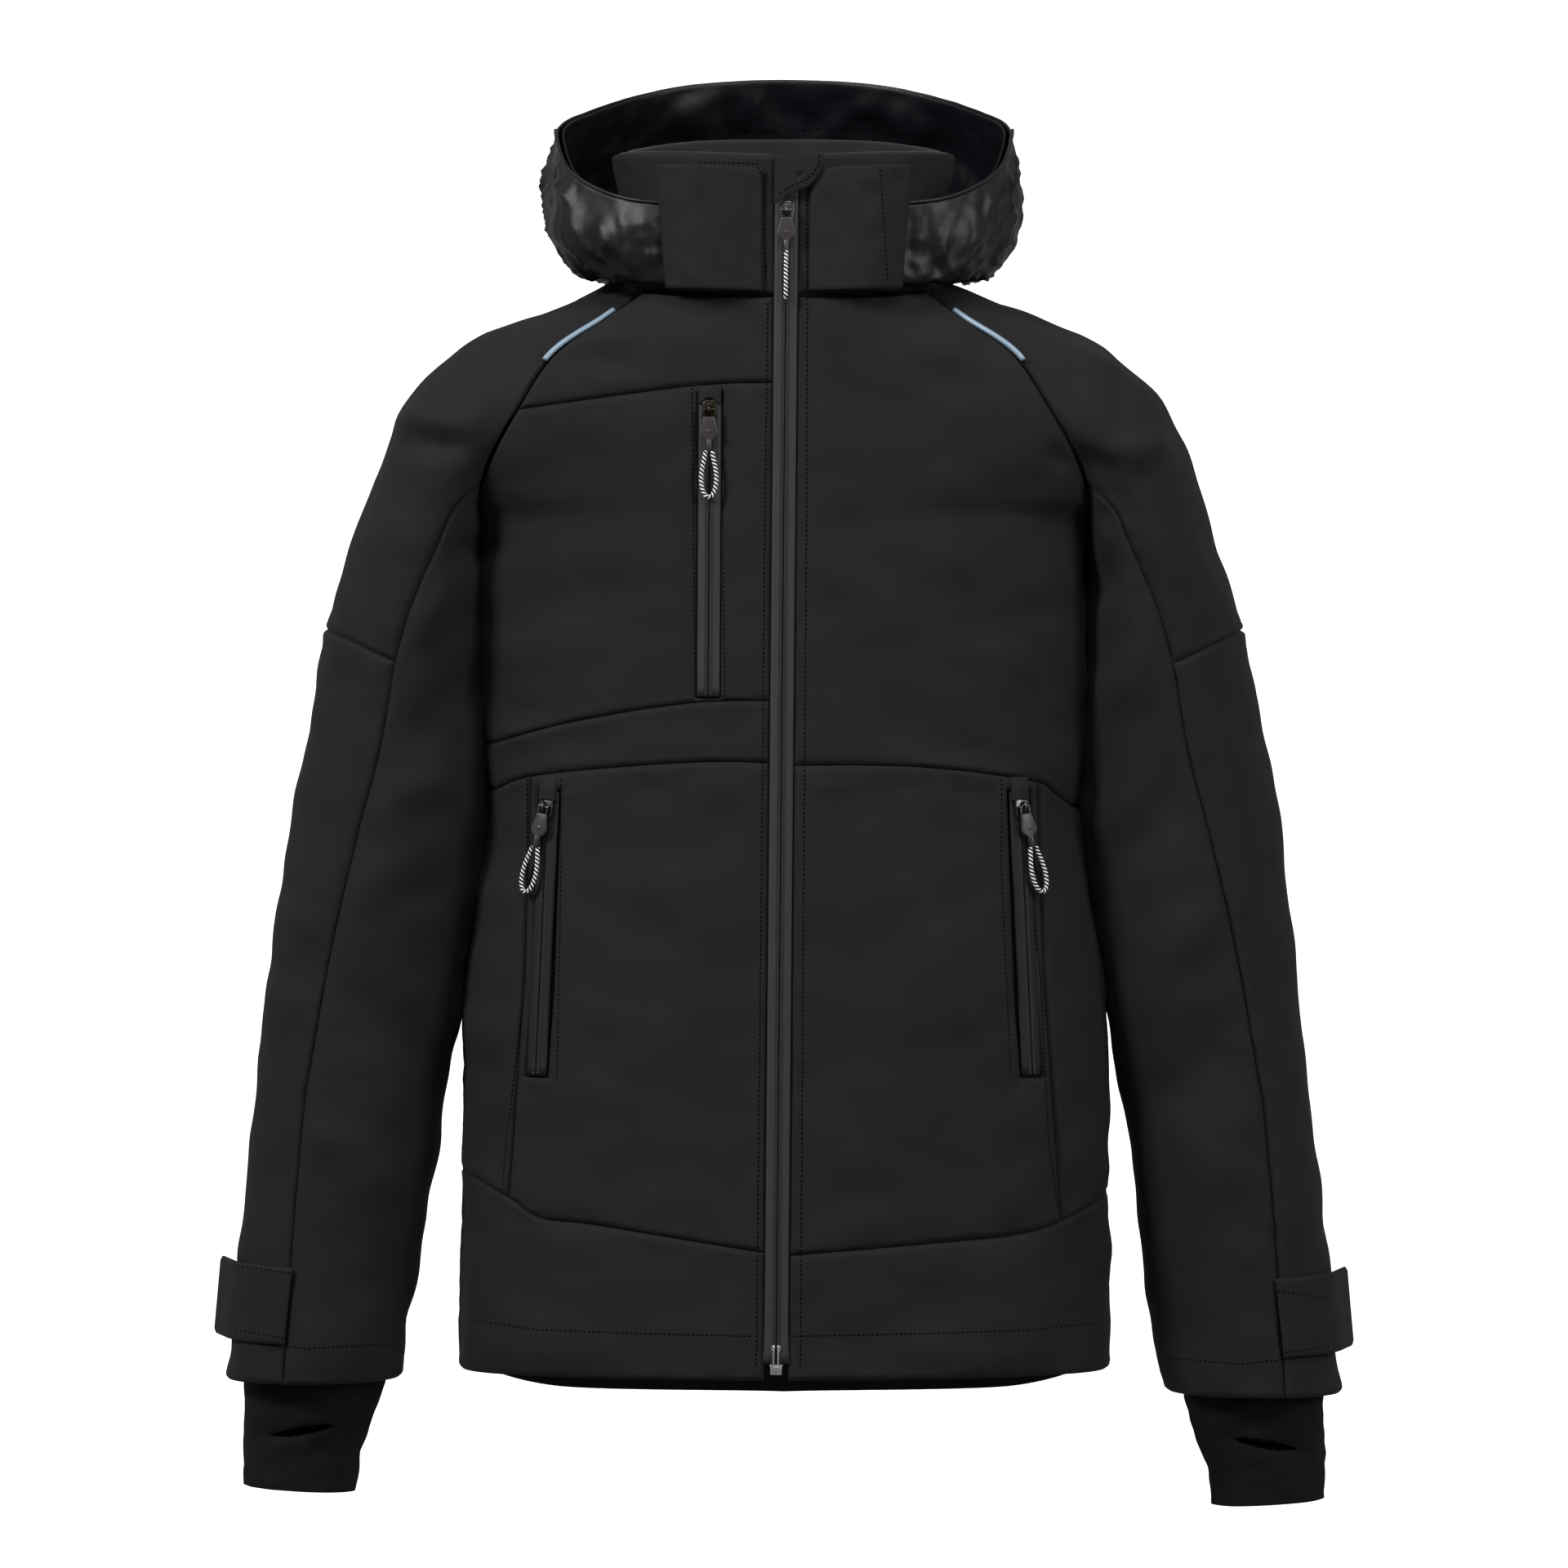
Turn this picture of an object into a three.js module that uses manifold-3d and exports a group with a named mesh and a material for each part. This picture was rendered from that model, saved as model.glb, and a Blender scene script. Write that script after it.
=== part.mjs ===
// Hooded, padded softshell ski jacket, zipped up and hanging as if worn.
// Millimetres, +Z up. The front faces -Y and the wearer's right side is -X.
// The origin is the hanger loop, inside the back of the neck.
import * as THREE from 'three';
import { mergeVertices } from 'three/addons/utils/BufferGeometryUtils.js';
import Module from 'manifold-3d';

const wasm = await Module();
wasm.setup();

// ---- driving dimensions -------------------------------------------------

// Body of the jacket
const FRONT_HEM_Z = -722;        // bottom edge of the two fronts
const TAIL_DROP = 28;            // how far the back hem hangs below the front hem
const FRONT_NECK_Z = -31;        // collar seam at the centre front
const BACK_NECK_Z = 9;           // collar seam at the centre back
const CHEST_HALF_WIDTH = 198;
const HEM_HALF_WIDTH = CHEST_HALF_WIDTH + 15;
const SEAT_HALF_WIDTH = CHEST_HALF_WIDTH + 11;
const WAIST_HALF_WIDTH = CHEST_HALF_WIDTH - 6;
const FRONT_DEPTH_NECK = 86.45;  // centre front to the middle of the body, at the collar seam
const FRONT_LEAN = 0.05;         // the centre front runs straight and leans back by this much
const BACK_DEPTH_HEM = 104;
const BACK_DEPTH_CHEST = 118;
const BACK_DEPTH_NECK = 80;

// Fabric thicknesses and seams
const SHELL = 5;                 // padded outer fabric
const LINING_INSET = 13;         // outer face of the jacket to outer face of the lining
const LINING = 2;
const POCKET_BAG_INSET = 7.6;
const POCKET_BAG = 1.8;          // both layers of a flat pocket bag together
const SEAM_GAP = 1.5;            // between two panels that are sewn together
const FRONT_LINING_RISE = 26;    // the lining ends this far above the hem
const BACK_LINING_RISE = 30;

// Pocket bags
const POCKET_BAG_INNER_X = 70;
const POCKET_BAG_SETBACK = 6;    // from the seam that the pocket lies beside
const POCKET_BAG_BOTTOM_Z = -548;
const POCKET_BAG_TOP_Z = -352;
const CHEST_BAG_INNER_X = 34;
const CHEST_BAG_OUTER_X = 128;
const CHEST_BAG_BOTTOM_Z = -296;
const CHEST_BAG_TOP_Z = -112;

// Armhole
const ARMPIT_Z = -168;
const NECK_SIDE_HALF_WIDTH = 97;

// Sleeves
const CUFF_Z = -731;
const SLEEVE = 5;
const SLEEVE_CLEARANCE = 4;      // between the sleeve and the side of the body
const LEFT_SLEEVE_DROP = 9;      // the left sleeve hangs this much lower at the cuff
const GAITER = 2.4;
const GAITER_END_Z = -803;
const GAITER_START_Z = -700;
const THUMB_HOLE_WIDTH = 44;
const THUMB_HOLE_HEIGHT = 13;
const TAB_WIDTH = 50;
const TAB_THICKNESS = 2.6;
const TAB_CLEARANCE = 1;
const HOOK_PATCH = 1;
const PATCH_GAP = 0.3;

// Collar
const COLLAR_SHELL = 3.6;
const COLLAR_LINING = 3;
const COLLAR_LAYER_GAP = 0.8;
const COLLAR_FRONT_TOP_Z = 60;
const COLLAR_SIDE_TOP_Z = 66;
const COLLAR_BACK_TOP_Z = 86;
const COLLAR_TOP_HALF_WIDTH = 112;
const FLAP_END_X = 72;           // where each front flap ends, away from the zip
const FLAP = 2.6;
const FLAP_CLEARANCE = 13.4;     // leaves room for the end of the hood under the flap

// Hood
const HOOD_SHELL = 3;
const HOOD_LINING = 1.8;
const HOOD_LAYER_GAP = 1;
const HOOD_AXIS_Y = 0;
const HOOD_AXIS_Z = 0;
const HOOD_SPLIT_RADIUS = 124;   // the crown swings outside this radius
const HOOD_SPLIT_Z = 8;
const HOOD_SPLIT_GAP = 1.2;

// Zips
const ZIP_HALF_BAND = 7;         // half the width of the tape that shows
const ZIP_SLIT = 1.3;            // between the two rows of teeth, for the slider's post
const TAPE = 1.1;
const TEETH = 2.4;
const TEETH_WIDTH = 2.2;
const ZIP_STOP = 2.5;            // the stop across each end of a pocket zip
const ZIP_BOX_WIDTH = 8.4;
const ZIP_BOX_DEPTH = 4.4;
const ZIP_BOX_HEIGHT = 7;
const ZIP_BOX_GAP = 0.4;
const PANEL_CLEARANCE = 0.7;     // between a tape's edge and the panel beside it
const SLIDER_LENGTH = 13;
const SLIDER_HALF_WIDTH = 4.6;
const SLIDER_PLATE = 1.6;
const SLIDER_CLEARANCE = 0.45;
const SLIDER_POST = 0.6;
const LUG_RADIUS = 3.6;
const LUG_HOLE_RADIUS = 2;
const LUG_WIDTH = 2.4;
const LUG_SINK = 0.4;            // how far the lug reaches into the slider's front plate
const PULL_BAR_RADIUS = 1.2;
const PULL_BAR_LENGTH = 7;
const PULL_PLATE = 2.4;
const PULL_LENGTH = 26;
const PULL_TOP = 1.2;            // the prongs reach this far above the bar
const PRONG_GAP = 0.7;           // between each prong and the lug
// Right edge of the puller's plate, from its prongs down to its neck: [half width, height].
const PULL_EDGE = [[4.4, PULL_TOP], [5.4, -8], [5.2, -14], [2.6, -18], [2.4, -PULL_LENGTH]];
const CORD_DIAMETER = 2.8;
const CORD_LOOP = 31;            // from the end of the puller to the end of the loop
const FRONT_ZIP_TOP_Z = 34;
const FRONT_ZIP_BOTTOM_Z = -711;
const FRONT_SLIDER_DROP = 10;    // from the top of a zip to the middle of its slider
const CHEST_ZIP_TOP_Z = -94;
const CHEST_ZIP_BOTTOM_Z = -287;
const CHEST_ZIP_X = 47.5;
const POCKET_ZIP_TOP_Z = -348;
const POCKET_ZIP_BOTTOM_Z = -530;

// ---- helpers ------------------------------------------------------------

const V = (x, y, z) => new THREE.Vector3(x, y, z);
const lerp = THREE.MathUtils.lerp;
const clamp = THREE.MathUtils.clamp;

// Straight-line value at x through [position, value] pairs that run upwards in position.
function along(pairs, x) {
  if (x <= pairs[0][0]) {
    return pairs[0][1];
  }
  for (let i = 1; i < pairs.length; i += 1) {
    if (x <= pairs[i][0]) {
      const [x0, y0] = pairs[i - 1];
      const [x1, y1] = pairs[i];
      return lerp(y0, y1, (x - x0) / (x1 - x0));
    }
  }
  return pairs[pairs.length - 1][1];
}

function signedVolume(position, index) {
  let total = 0;
  const corner = [V(), V(), V()];
  for (let i = 0; i < index.length; i += 3) {
    for (let k = 0; k < 3; k += 1) {
      corner[k].fromBufferAttribute(position, index[i + k]);
    }
    total += corner[0].dot(corner[1].clone().cross(corner[2]));
  }
  return total;
}

function closedGeometry(points, index) {
  const geometry = new THREE.BufferGeometry().setFromPoints(points);
  if (signedVolume(geometry.attributes.position, index) < 0) {
    for (let i = 0; i < index.length; i += 3) {
      [index[i], index[i + 1]] = [index[i + 1], index[i]];
    }
  }
  geometry.setIndex(index);
  return geometry;
}

// A sheet with thickness. outer and inner are grids of points, rows of the same length.
// A wrapped sheet closes on itself along each row.
function sheet(outer, inner, wrapped = false) {
  const rows = outer.length;
  const cols = outer[0].length;
  const points = [...outer.flat(), ...inner.flat()];
  const half = rows * cols;
  const at = (j, i, side) => j * cols + (i % cols) + side * half;
  const index = [];
  const quad = (a, b, c, d) => index.push(a, b, c, a, c, d);
  const spans = wrapped ? cols : cols - 1;
  for (let j = 0; j < rows - 1; j += 1) {
    for (let i = 0; i < spans; i += 1) {
      quad(at(j, i, 0), at(j, i + 1, 0), at(j + 1, i + 1, 0), at(j + 1, i, 0));
      quad(at(j, i, 1), at(j + 1, i, 1), at(j + 1, i + 1, 1), at(j, i + 1, 1));
    }
  }
  for (let i = 0; i < spans; i += 1) {
    quad(at(0, i, 0), at(0, i, 1), at(0, i + 1, 1), at(0, i + 1, 0));
    quad(at(rows - 1, i, 0), at(rows - 1, i + 1, 0), at(rows - 1, i + 1, 1), at(rows - 1, i, 1));
  }
  if (!wrapped) {
    for (let j = 0; j < rows - 1; j += 1) {
      quad(at(j, 0, 0), at(j + 1, 0, 0), at(j + 1, 0, 1), at(j, 0, 1));
      quad(at(j, cols - 1, 0), at(j, cols - 1, 1), at(j + 1, cols - 1, 1), at(j + 1, cols - 1, 0));
    }
  }
  return closedGeometry(points, index);
}

function grid(rows, cols, pointAt) {
  return Array.from({ length: rows + 1 }, (_, j) =>
    Array.from({ length: cols + 1 }, (_, i) => pointAt(i / cols, j / rows)));
}

function solidOf(geometry) {
  const plain = geometry.clone();
  plain.deleteAttribute('normal');
  plain.deleteAttribute('uv');
  const merged = mergeVertices(plain, 1e-4);
  return new wasm.Manifold(new wasm.Mesh({
    numProp: 3,
    vertProperties: new Float32Array(merged.attributes.position.array),
    triVerts: new Uint32Array(merged.index.array),
  }));
}

function geometryOf(solid) {
  const mesh = solid.getMesh();
  const geometry = new THREE.BufferGeometry();
  geometry.setAttribute('position', new THREE.BufferAttribute(new Float32Array(mesh.vertProperties), 3));
  geometry.setIndex(new THREE.BufferAttribute(new Uint32Array(mesh.triVerts), 1));
  return geometry;
}

function box(x, y, z, cx = 0, cy = 0, cz = 0) {
  return new THREE.BoxGeometry(x, y, z).translate(cx, cy, cz);
}

// An outline of [x, z] points, extruded from y0 to y1.
function plateXZ(outline, y0, y1) {
  const shape = new THREE.Shape(outline.map(([x, z]) => new THREE.Vector2(x, z)));
  const geometry = new THREE.ExtrudeGeometry(shape, { depth: y1 - y0, bevelEnabled: false });
  return geometry.rotateX(Math.PI / 2).translate(0, y1, 0);
}

// An outline of [x, y] points, extruded from z0 to z1.
function barZ(outline, z0, z1) {
  const shape = new THREE.Shape(outline.map(([x, y]) => new THREE.Vector2(x, y)));
  return new THREE.ExtrudeGeometry(shape, { depth: z1 - z0, bevelEnabled: false }).translate(0, 0, z0);
}

// A round cord of the given diameter along a smooth curve through the points.
function cordAlong(points, diameter, steps) {
  const section = new THREE.Shape();
  const sides = 8;
  for (let i = 0; i < sides; i += 1) {
    const angle = (i / sides) * Math.PI * 2;
    const corner = [Math.cos(angle) * diameter / 2, Math.sin(angle) * diameter / 2];
    if (i === 0) {
      section.moveTo(...corner);
    } else {
      section.lineTo(...corner);
    }
  }
  const path = new THREE.CatmullRomCurve3(points);
  return new THREE.ExtrudeGeometry(section, { steps, bevelEnabled: false, extrudePath: path });
}

// ---- finishes -----------------------------------------------------------

const FINISHES = {
  softshell: [0x1b1c1d, 0.9, 0],
  nylon: [0x14161b, 0.45, 0],
  fleece: [0x171413, 1, 0],
  lining: [0x17181a, 0.8, 0],
  knit: [0x121212, 0.95, 0],
  tape: [0x2c2e30, 0.6, 0],
  rubber: [0x33302e, 0.5, 0],
  gunmetal: [0x3c3d40, 0.35, 0.9],
  brass: [0x3a3128, 0.4, 0.9],
  nickel: [0xa7a9ab, 0.3, 0.95],
  braid: [0x8c8c8a, 0.85, 0],
  reflective: [0x6e8291, 0.4, 0.1],
};

const jacket = new THREE.Group();

function add(name, geometry, finish, parent = jacket) {
  const [color, roughness, metalness] = FINISHES[finish];
  const material = new THREE.MeshStandardMaterial({ color, roughness, metalness });
  const mesh = new THREE.Mesh(geometry, material);
  mesh.name = name;
  parent.add(mesh);
  return mesh;
}

// ---- the armhole seam ---------------------------------------------------

const BACK = 1;
const FRONT = -1;

// Raglan seam of the left side, from the neck over the front to the armpit.
const FRONT_RAGLAN = [
  V(NECK_SIDE_HALF_WIDTH, 8, -10), V(93, -38, -24), V(115, -60, -42), V(150, -80, -68),
  V(172, -88, -104), V(190, -76, -135), V(CHEST_HALF_WIDTH, -40, -160), V(CHEST_HALF_WIDTH + 1, 0, ARMPIT_Z),
];
// The same seam over the back, from the neck to the armpit.
const BACK_RAGLAN = [
  V(NECK_SIDE_HALF_WIDTH, 8, -10), V(92, 46, -2), V(112, 82, -22), V(140, 102, -55),
  V(168, 102, -95), V(188, 84, -130), V(CHEST_HALF_WIDTH, 42, -160), V(CHEST_HALF_WIDTH + 1, 0, ARMPIT_Z),
];
const RAGLAN = {
  [FRONT]: new THREE.CatmullRomCurve3(FRONT_RAGLAN, false, 'centripetal'),
  [BACK]: new THREE.CatmullRomCurve3(BACK_RAGLAN, false, 'centripetal'),
};
const RAGLAN_SAMPLES = 60;
const RAGLAN_BY_HEIGHT = {};
for (const face of [FRONT, BACK]) {
  const samples = RAGLAN[face].getSpacedPoints(RAGLAN_SAMPLES).reverse();
  RAGLAN_BY_HEIGHT[face] = {
    width: samples.map((p) => [p.z, p.x]),
    depth: samples.map((p) => [p.z, Math.abs(p.y) < 1e-6 ? 0 : p.y * face]),
  };
}

// ---- the body -----------------------------------------------------------

const BODY_WIDTH = [
  [FRONT_HEM_Z - TAIL_DROP, HEM_HALF_WIDTH - 1], [-703, HEM_HALF_WIDTH], [-600, SEAT_HALF_WIDTH + 1.5],
  [-471, SEAT_HALF_WIDTH], [-410, WAIST_HALF_WIDTH + 7], [-356, WAIST_HALF_WIDTH],
  [-295, CHEST_HALF_WIDTH], [ARMPIT_Z, CHEST_HALF_WIDTH],
];
const BACK_DEPTH = [
  [FRONT_HEM_Z - TAIL_DROP, BACK_DEPTH_HEM], [-600, BACK_DEPTH_HEM - 2], [-420, BACK_DEPTH_HEM - 6],
  [-250, BACK_DEPTH_CHEST], [-130, BACK_DEPTH_CHEST], [-60, 108], [BACK_NECK_Z, BACK_DEPTH_NECK],
];

const frontDepth = (z) => FRONT_DEPTH_NECK + FRONT_LEAN * (FRONT_NECK_Z - z);
const depthAt = (face, z) => (face === FRONT ? frontDepth(z) : along(BACK_DEPTH, z));
// Below 1 the section is squarer than an ellipse, as a padded body is.
const fullness = (z) => along([[-300, 0.74], [ARMPIT_Z, 0.48], [-130, 0.75], [FRONT_NECK_Z, 1]], z);

function edgeAt(face, z) {
  if (z < ARMPIT_Z) {
    return { width: along(BODY_WIDTH, z), depth: 0 };
  }
  const seam = RAGLAN_BY_HEIGHT[face];
  return { width: along(seam.width, z), depth: Math.max(0, along(seam.depth, z)) };
}

// A point of the body's outer face, moved inwards by inset. q runs from -1 to 1, side to side.
function bodyPoint(face, q, z, inset = 0) {
  const edge = edgeAt(face, z);
  const angle = q * Math.PI / 2;
  const side = Math.max(0, edge.depth - inset * Math.min(1, edge.depth / 20));
  const bulge = depthAt(face, z) - inset - side;
  const x = (edge.width - inset) * Math.sin(angle);
  const y = face * (side + bulge * Math.max(0, Math.cos(angle)) ** fullness(z));
  return V(x, y, z);
}

function qAt(face, x, z) {
  return Math.asin(clamp(x / edgeAt(face, z).width, -1, 1)) / (Math.PI / 2);
}

// The centre of the front zip at height z.
const ZIP_X_TOP = 1.6;
const ZIP_X_BOTTOM = -5.2;
const zipX = (z) => ZIP_X_BOTTOM + (ZIP_X_TOP - ZIP_X_BOTTOM) * (z - FRONT_HEM_Z) / (24 - FRONT_HEM_Z);
const ZIP_EDGE = ZIP_HALF_BAND + PANEL_CLEARANCE;

// A sewn panel of the body. left and right give q at height z, low and high give z at x.
const PLACING_PASSES = 12;
function bodyPanel({ face, left, right, low, high, cols, rows, from = 0, thick = SHELL }) {
  const place = (s, t, inset) => {
    let z = lerp(low(0), high(0), t);
    let q = 0;
    for (let pass = 0; pass < PLACING_PASSES; pass += 1) {
      q = lerp(left(z), right(z), s);
      const x = bodyPoint(face, q, z).x;
      z = lerp(low(x), high(x), t);
    }
    return bodyPoint(face, q, z, inset);
  };
  const outer = grid(rows, cols, (s, t) => place(s, t, from));
  const inner = grid(rows, cols, (s, t) => place(s, t, from + thick));
  return sheet(outer, inner);
}

const G = SEAM_GAP / 2;
// A smooth seam line through [distance from the centre, height] pairs.
const SEAM_SAMPLES = 48;
function bySide(pairs) {
  const curve = new THREE.SplineCurve(pairs.map(([x, z]) => new THREE.Vector2(x, z)));
  const fine = curve.getPoints(SEAM_SAMPLES).map((p) => [p.x, p.y]);
  return (x) => along(fine, Math.abs(x));
}
const shifted = (line, by) => (x) => line(x) + by;

// Heights of the seams across the body, by distance from the centre line.
const yokeSeam = bySide([[0, -86], [58, -88], [171, -103], [190, -106]]);
const bandTopSeam = bySide([[0, -290], [58, -291], [136, -303], [188, -316]]);
const rightWaistSeam = bySide([[0, -330], [58, -329], [157, -337], [188, -346]]);
const leftWaistSeam = bySide([[0, -331], [88, -332], [161, -341], [176, -349], [188, -357]]);
const rightHemSeam = bySide([[0, -643], [117, -625], [156, -621], [177, -609], [213, -592]]);
const leftHemSeam = bySide([[0, -643], [91, -636], [157, -630], [193, -618], [213, -607]]);
const backHemSeam = bySide([[0, -655], [120, -640], [213, -600]]);
const backYokeSeam = bySide([[0, -150], [120, -140], [200, -126]]);
const frontHem = bySide([[0, FRONT_HEM_Z], [150, FRONT_HEM_Z], [213, FRONT_HEM_Z - 1]]);
const backHem = bySide([
  [0, FRONT_HEM_Z - TAIL_DROP], [150, FRONT_HEM_Z - TAIL_DROP * 0.8], [213, FRONT_HEM_Z - 1],
]);
const frontNeck = bySide([[0, FRONT_NECK_Z], [50, FRONT_NECK_Z + 1], [93, -24.5]]);
const backNeck = bySide([[0, BACK_NECK_Z], [60, 6], [92, -2]]);

// Seams that run down the front, on each side.
const besideZip = (side, more = 0) => (z) => qAt(FRONT, zipX(z) + side * (ZIP_EDGE + more), z);
const SIDE_SEAM_Q = 0.9994;      // a hair short of the side, for the seam gap there
const armholeSetback = (z) => along([[ARMPIT_Z, 0.1], [-135, 1.8]], z);
function atSide(face, side) {
  return (z) => {
    const width = edgeAt(face, z).width - armholeSetback(z);
    return side * Math.min(SIDE_SEAM_Q, qAt(face, width, z));
  };
}
const pocketSeam = (side) => (z) => side * along([[-640, 181], [-609, 178], [-471, 168], [-330, 164]], z);
const besideLine = (line, by) => (z) => qAt(FRONT, line(z) + by, z);

// A front panel on one side, between the zip (or an inner seam) and an outer seam.
function frontPanel(side, inner, outer, low, high, cols, rows, extra = {}) {
  const [left, right] = side < 0 ? [outer, inner] : [inner, outer];
  return bodyPanel({ face: FRONT, left, right, low, high, cols, rows, ...extra });
}

const RIGHT = -1;
const LEFT = 1;
const sideName = { [RIGHT]: 'right', [LEFT]: 'left' };

// ---- zips ---------------------------------------------------------------

// Local frame of a zip: z up along it, -y outwards, x across. The origin is its top end.
function zipFrame(top, bottom, outward) {
  const up = top.clone().sub(bottom).normalize();
  const inward = outward.clone().addScaledVector(up, -outward.dot(up)).normalize().negate();
  const across = inward.clone().cross(up);
  const group = new THREE.Group();
  group.applyMatrix4(new THREE.Matrix4().makeBasis(across, inward, up).setPosition(top));
  group.updateMatrixWorld(true);
  group.userData.length = top.distanceTo(bottom);
  jacket.add(group);
  return group;
}

const TEETH_INNER = ZIP_SLIT / 2;
const TEETH_OUTER = TEETH_INNER + TEETH_WIDTH;

// Cross-section of one half of a zip: a row of teeth on the edge of a tape.
function halfZipSection(side) {
  return [
    [TEETH_INNER, -TEETH / 2], [TEETH_OUTER, -TEETH / 2],
    [TEETH_OUTER, -TAPE / 2], [ZIP_HALF_BAND, -TAPE / 2],
    [ZIP_HALF_BAND, TAPE / 2], [TEETH_OUTER, TAPE / 2],
    [TEETH_OUTER, TEETH / 2], [TEETH_INNER, TEETH / 2],
  ].map(([x, y]) => [x * side, y]);
}

// A closed pocket zip: both halves, joined by a stop at each end.
function pocketZip(length) {
  let solid = solidOf(barZ(halfZipSection(LEFT), -length, 0));
  solid = solid.add(solidOf(barZ(halfZipSection(RIGHT), -length, 0)));
  for (const z of [-ZIP_STOP / 2, -length + ZIP_STOP / 2]) {
    solid = solid.add(solidOf(box(TEETH_OUTER * 2, TEETH, ZIP_STOP, 0, 0, z)));
  }
  return geometryOf(solid);
}

const PLATE_INNER = TEETH / 2 + SLIDER_CLEARANCE;
const PLATE_OUTER = PLATE_INNER + SLIDER_PLATE;
const HINGE_Y = -(PLATE_OUTER + LUG_HOLE_RADIUS);

// The slider: two plates joined by a post, and a lug that holds the puller's bar.
function sliderGeometry() {
  const w = SLIDER_HALF_WIDTH;
  const p = SLIDER_POST / 2;
  const section = [
    [-w, -PLATE_OUTER], [w, -PLATE_OUTER], [w, -PLATE_INNER], [p, -PLATE_INNER], [p, PLATE_INNER],
    [w, PLATE_INNER], [w, PLATE_OUTER], [-w, PLATE_OUTER], [-w, PLATE_INNER], [-p, PLATE_INNER],
    [-p, -PLATE_INNER], [-w, -PLATE_INNER],
  ];
  const body = solidOf(barZ(section, -SLIDER_LENGTH / 2, SLIDER_LENGTH / 2));
  const lugShape = new THREE.Shape();
  lugShape.moveTo(-LUG_RADIUS, LUG_SINK);
  lugShape.lineTo(-LUG_RADIUS, -LUG_HOLE_RADIUS);
  lugShape.absarc(0, -LUG_HOLE_RADIUS, LUG_RADIUS, Math.PI, Math.PI * 2, false);
  lugShape.lineTo(LUG_RADIUS, LUG_SINK);
  lugShape.closePath();
  const hole = new THREE.Path();
  hole.absarc(0, -LUG_HOLE_RADIUS, LUG_HOLE_RADIUS, 0, Math.PI * 2, true);
  lugShape.holes.push(hole);
  const lugForm = { depth: LUG_WIDTH, bevelEnabled: false, curveSegments: 5 };
  const lug = new THREE.ExtrudeGeometry(lugShape, lugForm);
  lug.translate(0, 0, -LUG_WIDTH / 2);
  lug.applyMatrix4(new THREE.Matrix4().makeBasis(V(0, 0, -1), V(0, 1, 0), V(1, 0, 0)));
  lug.translate(0, -PLATE_OUTER, 0);
  return geometryOf(body.add(solidOf(lug)));
}

// The puller, with the axis of its bar at the origin and its plate hanging down.
function pullerGeometry() {
  const prongIn = LUG_WIDTH / 2 + PRONG_GAP;
  const forkEnd = -LUG_RADIUS - 1;
  const fork = [[-prongIn, PULL_TOP], [-prongIn, forkEnd], [prongIn, forkEnd], [prongIn, PULL_TOP]];
  const otherEdge = PULL_EDGE.slice(1).toReversed().map(([x, z]) => [-x, z]);
  const outline = [[-PULL_EDGE[0][0], PULL_TOP], ...fork, ...PULL_EDGE, ...otherEdge];
  const plate = plateXZ(outline, -PULL_PLATE / 2, PULL_PLATE / 2);
  const bar = new THREE.CylinderGeometry(PULL_BAR_RADIUS, PULL_BAR_RADIUS, PULL_BAR_LENGTH, 8);
  return geometryOf(solidOf(plate).add(solidOf(bar.rotateZ(Math.PI / 2))));
}

// The route of a pull cord: down one side of the loop and back up the other.
function loopRoute(halfWidth) {
  const top = -PULL_LENGTH - 0.3;
  const down = [[0.45, 0], [0.6, -4], [0.95, -12], [1.05, -19], [0.85, -25], [0.45, -28.6]];
  const points = down.map(([x, z]) => [-x * halfWidth, z]);
  points.push([0, -CORD_LOOP + CORD_DIAMETER / 2]);
  points.push(...down.toReversed().map(([x, z]) => [x * halfWidth, z]));
  return points.map(([x, z]) => [x, top + z]);
}

const CORD_STEPS = 14;

// Slider, puller and pull cord of one zip. The loop of the front zip is seen on its edge.
function addPull(prefix, frame, { metal, tilt = 0, loop = 4.6, edgeOn = false }) {
  const rider = new THREE.Group();
  rider.position.z = -FRONT_SLIDER_DROP;
  frame.add(rider);
  add(`${prefix}_slider`, sliderGeometry(), metal, rider);
  const swing = new THREE.Group();
  swing.position.y = HINGE_Y;
  swing.rotation.y = tilt;
  rider.add(swing);
  add(`${prefix}_puller`, pullerGeometry(), 'rubber', swing);
  const route = loopRoute(loop).map(([x, z]) => (edgeOn ? V(0, x, z) : V(x, 0, z)));
  add(`${prefix}_pull_cord`, cordAlong(route, CORD_DIAMETER, CORD_STEPS), 'braid', swing);
}

// The slot that a pocket zip needs in its panel.
function cutSlot(panel, frame) {
  const length = frame.userData.length + 2 * PANEL_CLEARANCE;
  const slot = box(ZIP_EDGE * 2, 60, length, 0, 0, -frame.userData.length / 2);
  slot.applyMatrix4(frame.matrixWorld);
  return geometryOf(solidOf(panel).subtract(solidOf(slot)));
}

// A zip frame between two heights, on the body at the given x positions.
function frontFrame(xTop, zTop, xBottom, zBottom, proud) {
  const top = bodyPoint(FRONT, qAt(FRONT, xTop, zTop), zTop);
  const bottom = bodyPoint(FRONT, qAt(FRONT, xBottom, zBottom), zBottom);
  const middleZ = (zTop + zBottom) / 2;
  const middleQ = qAt(FRONT, (xTop + xBottom) / 2, middleZ);
  const step = 0.03;
  const across = bodyPoint(FRONT, middleQ + step, middleZ).sub(bodyPoint(FRONT, middleQ - step, middleZ));
  const outward = across.cross(V(0, 0, 1)).normalize();
  return zipFrame(top.addScaledVector(outward, proud), bottom.addScaledVector(outward, proud), outward);
}

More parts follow.
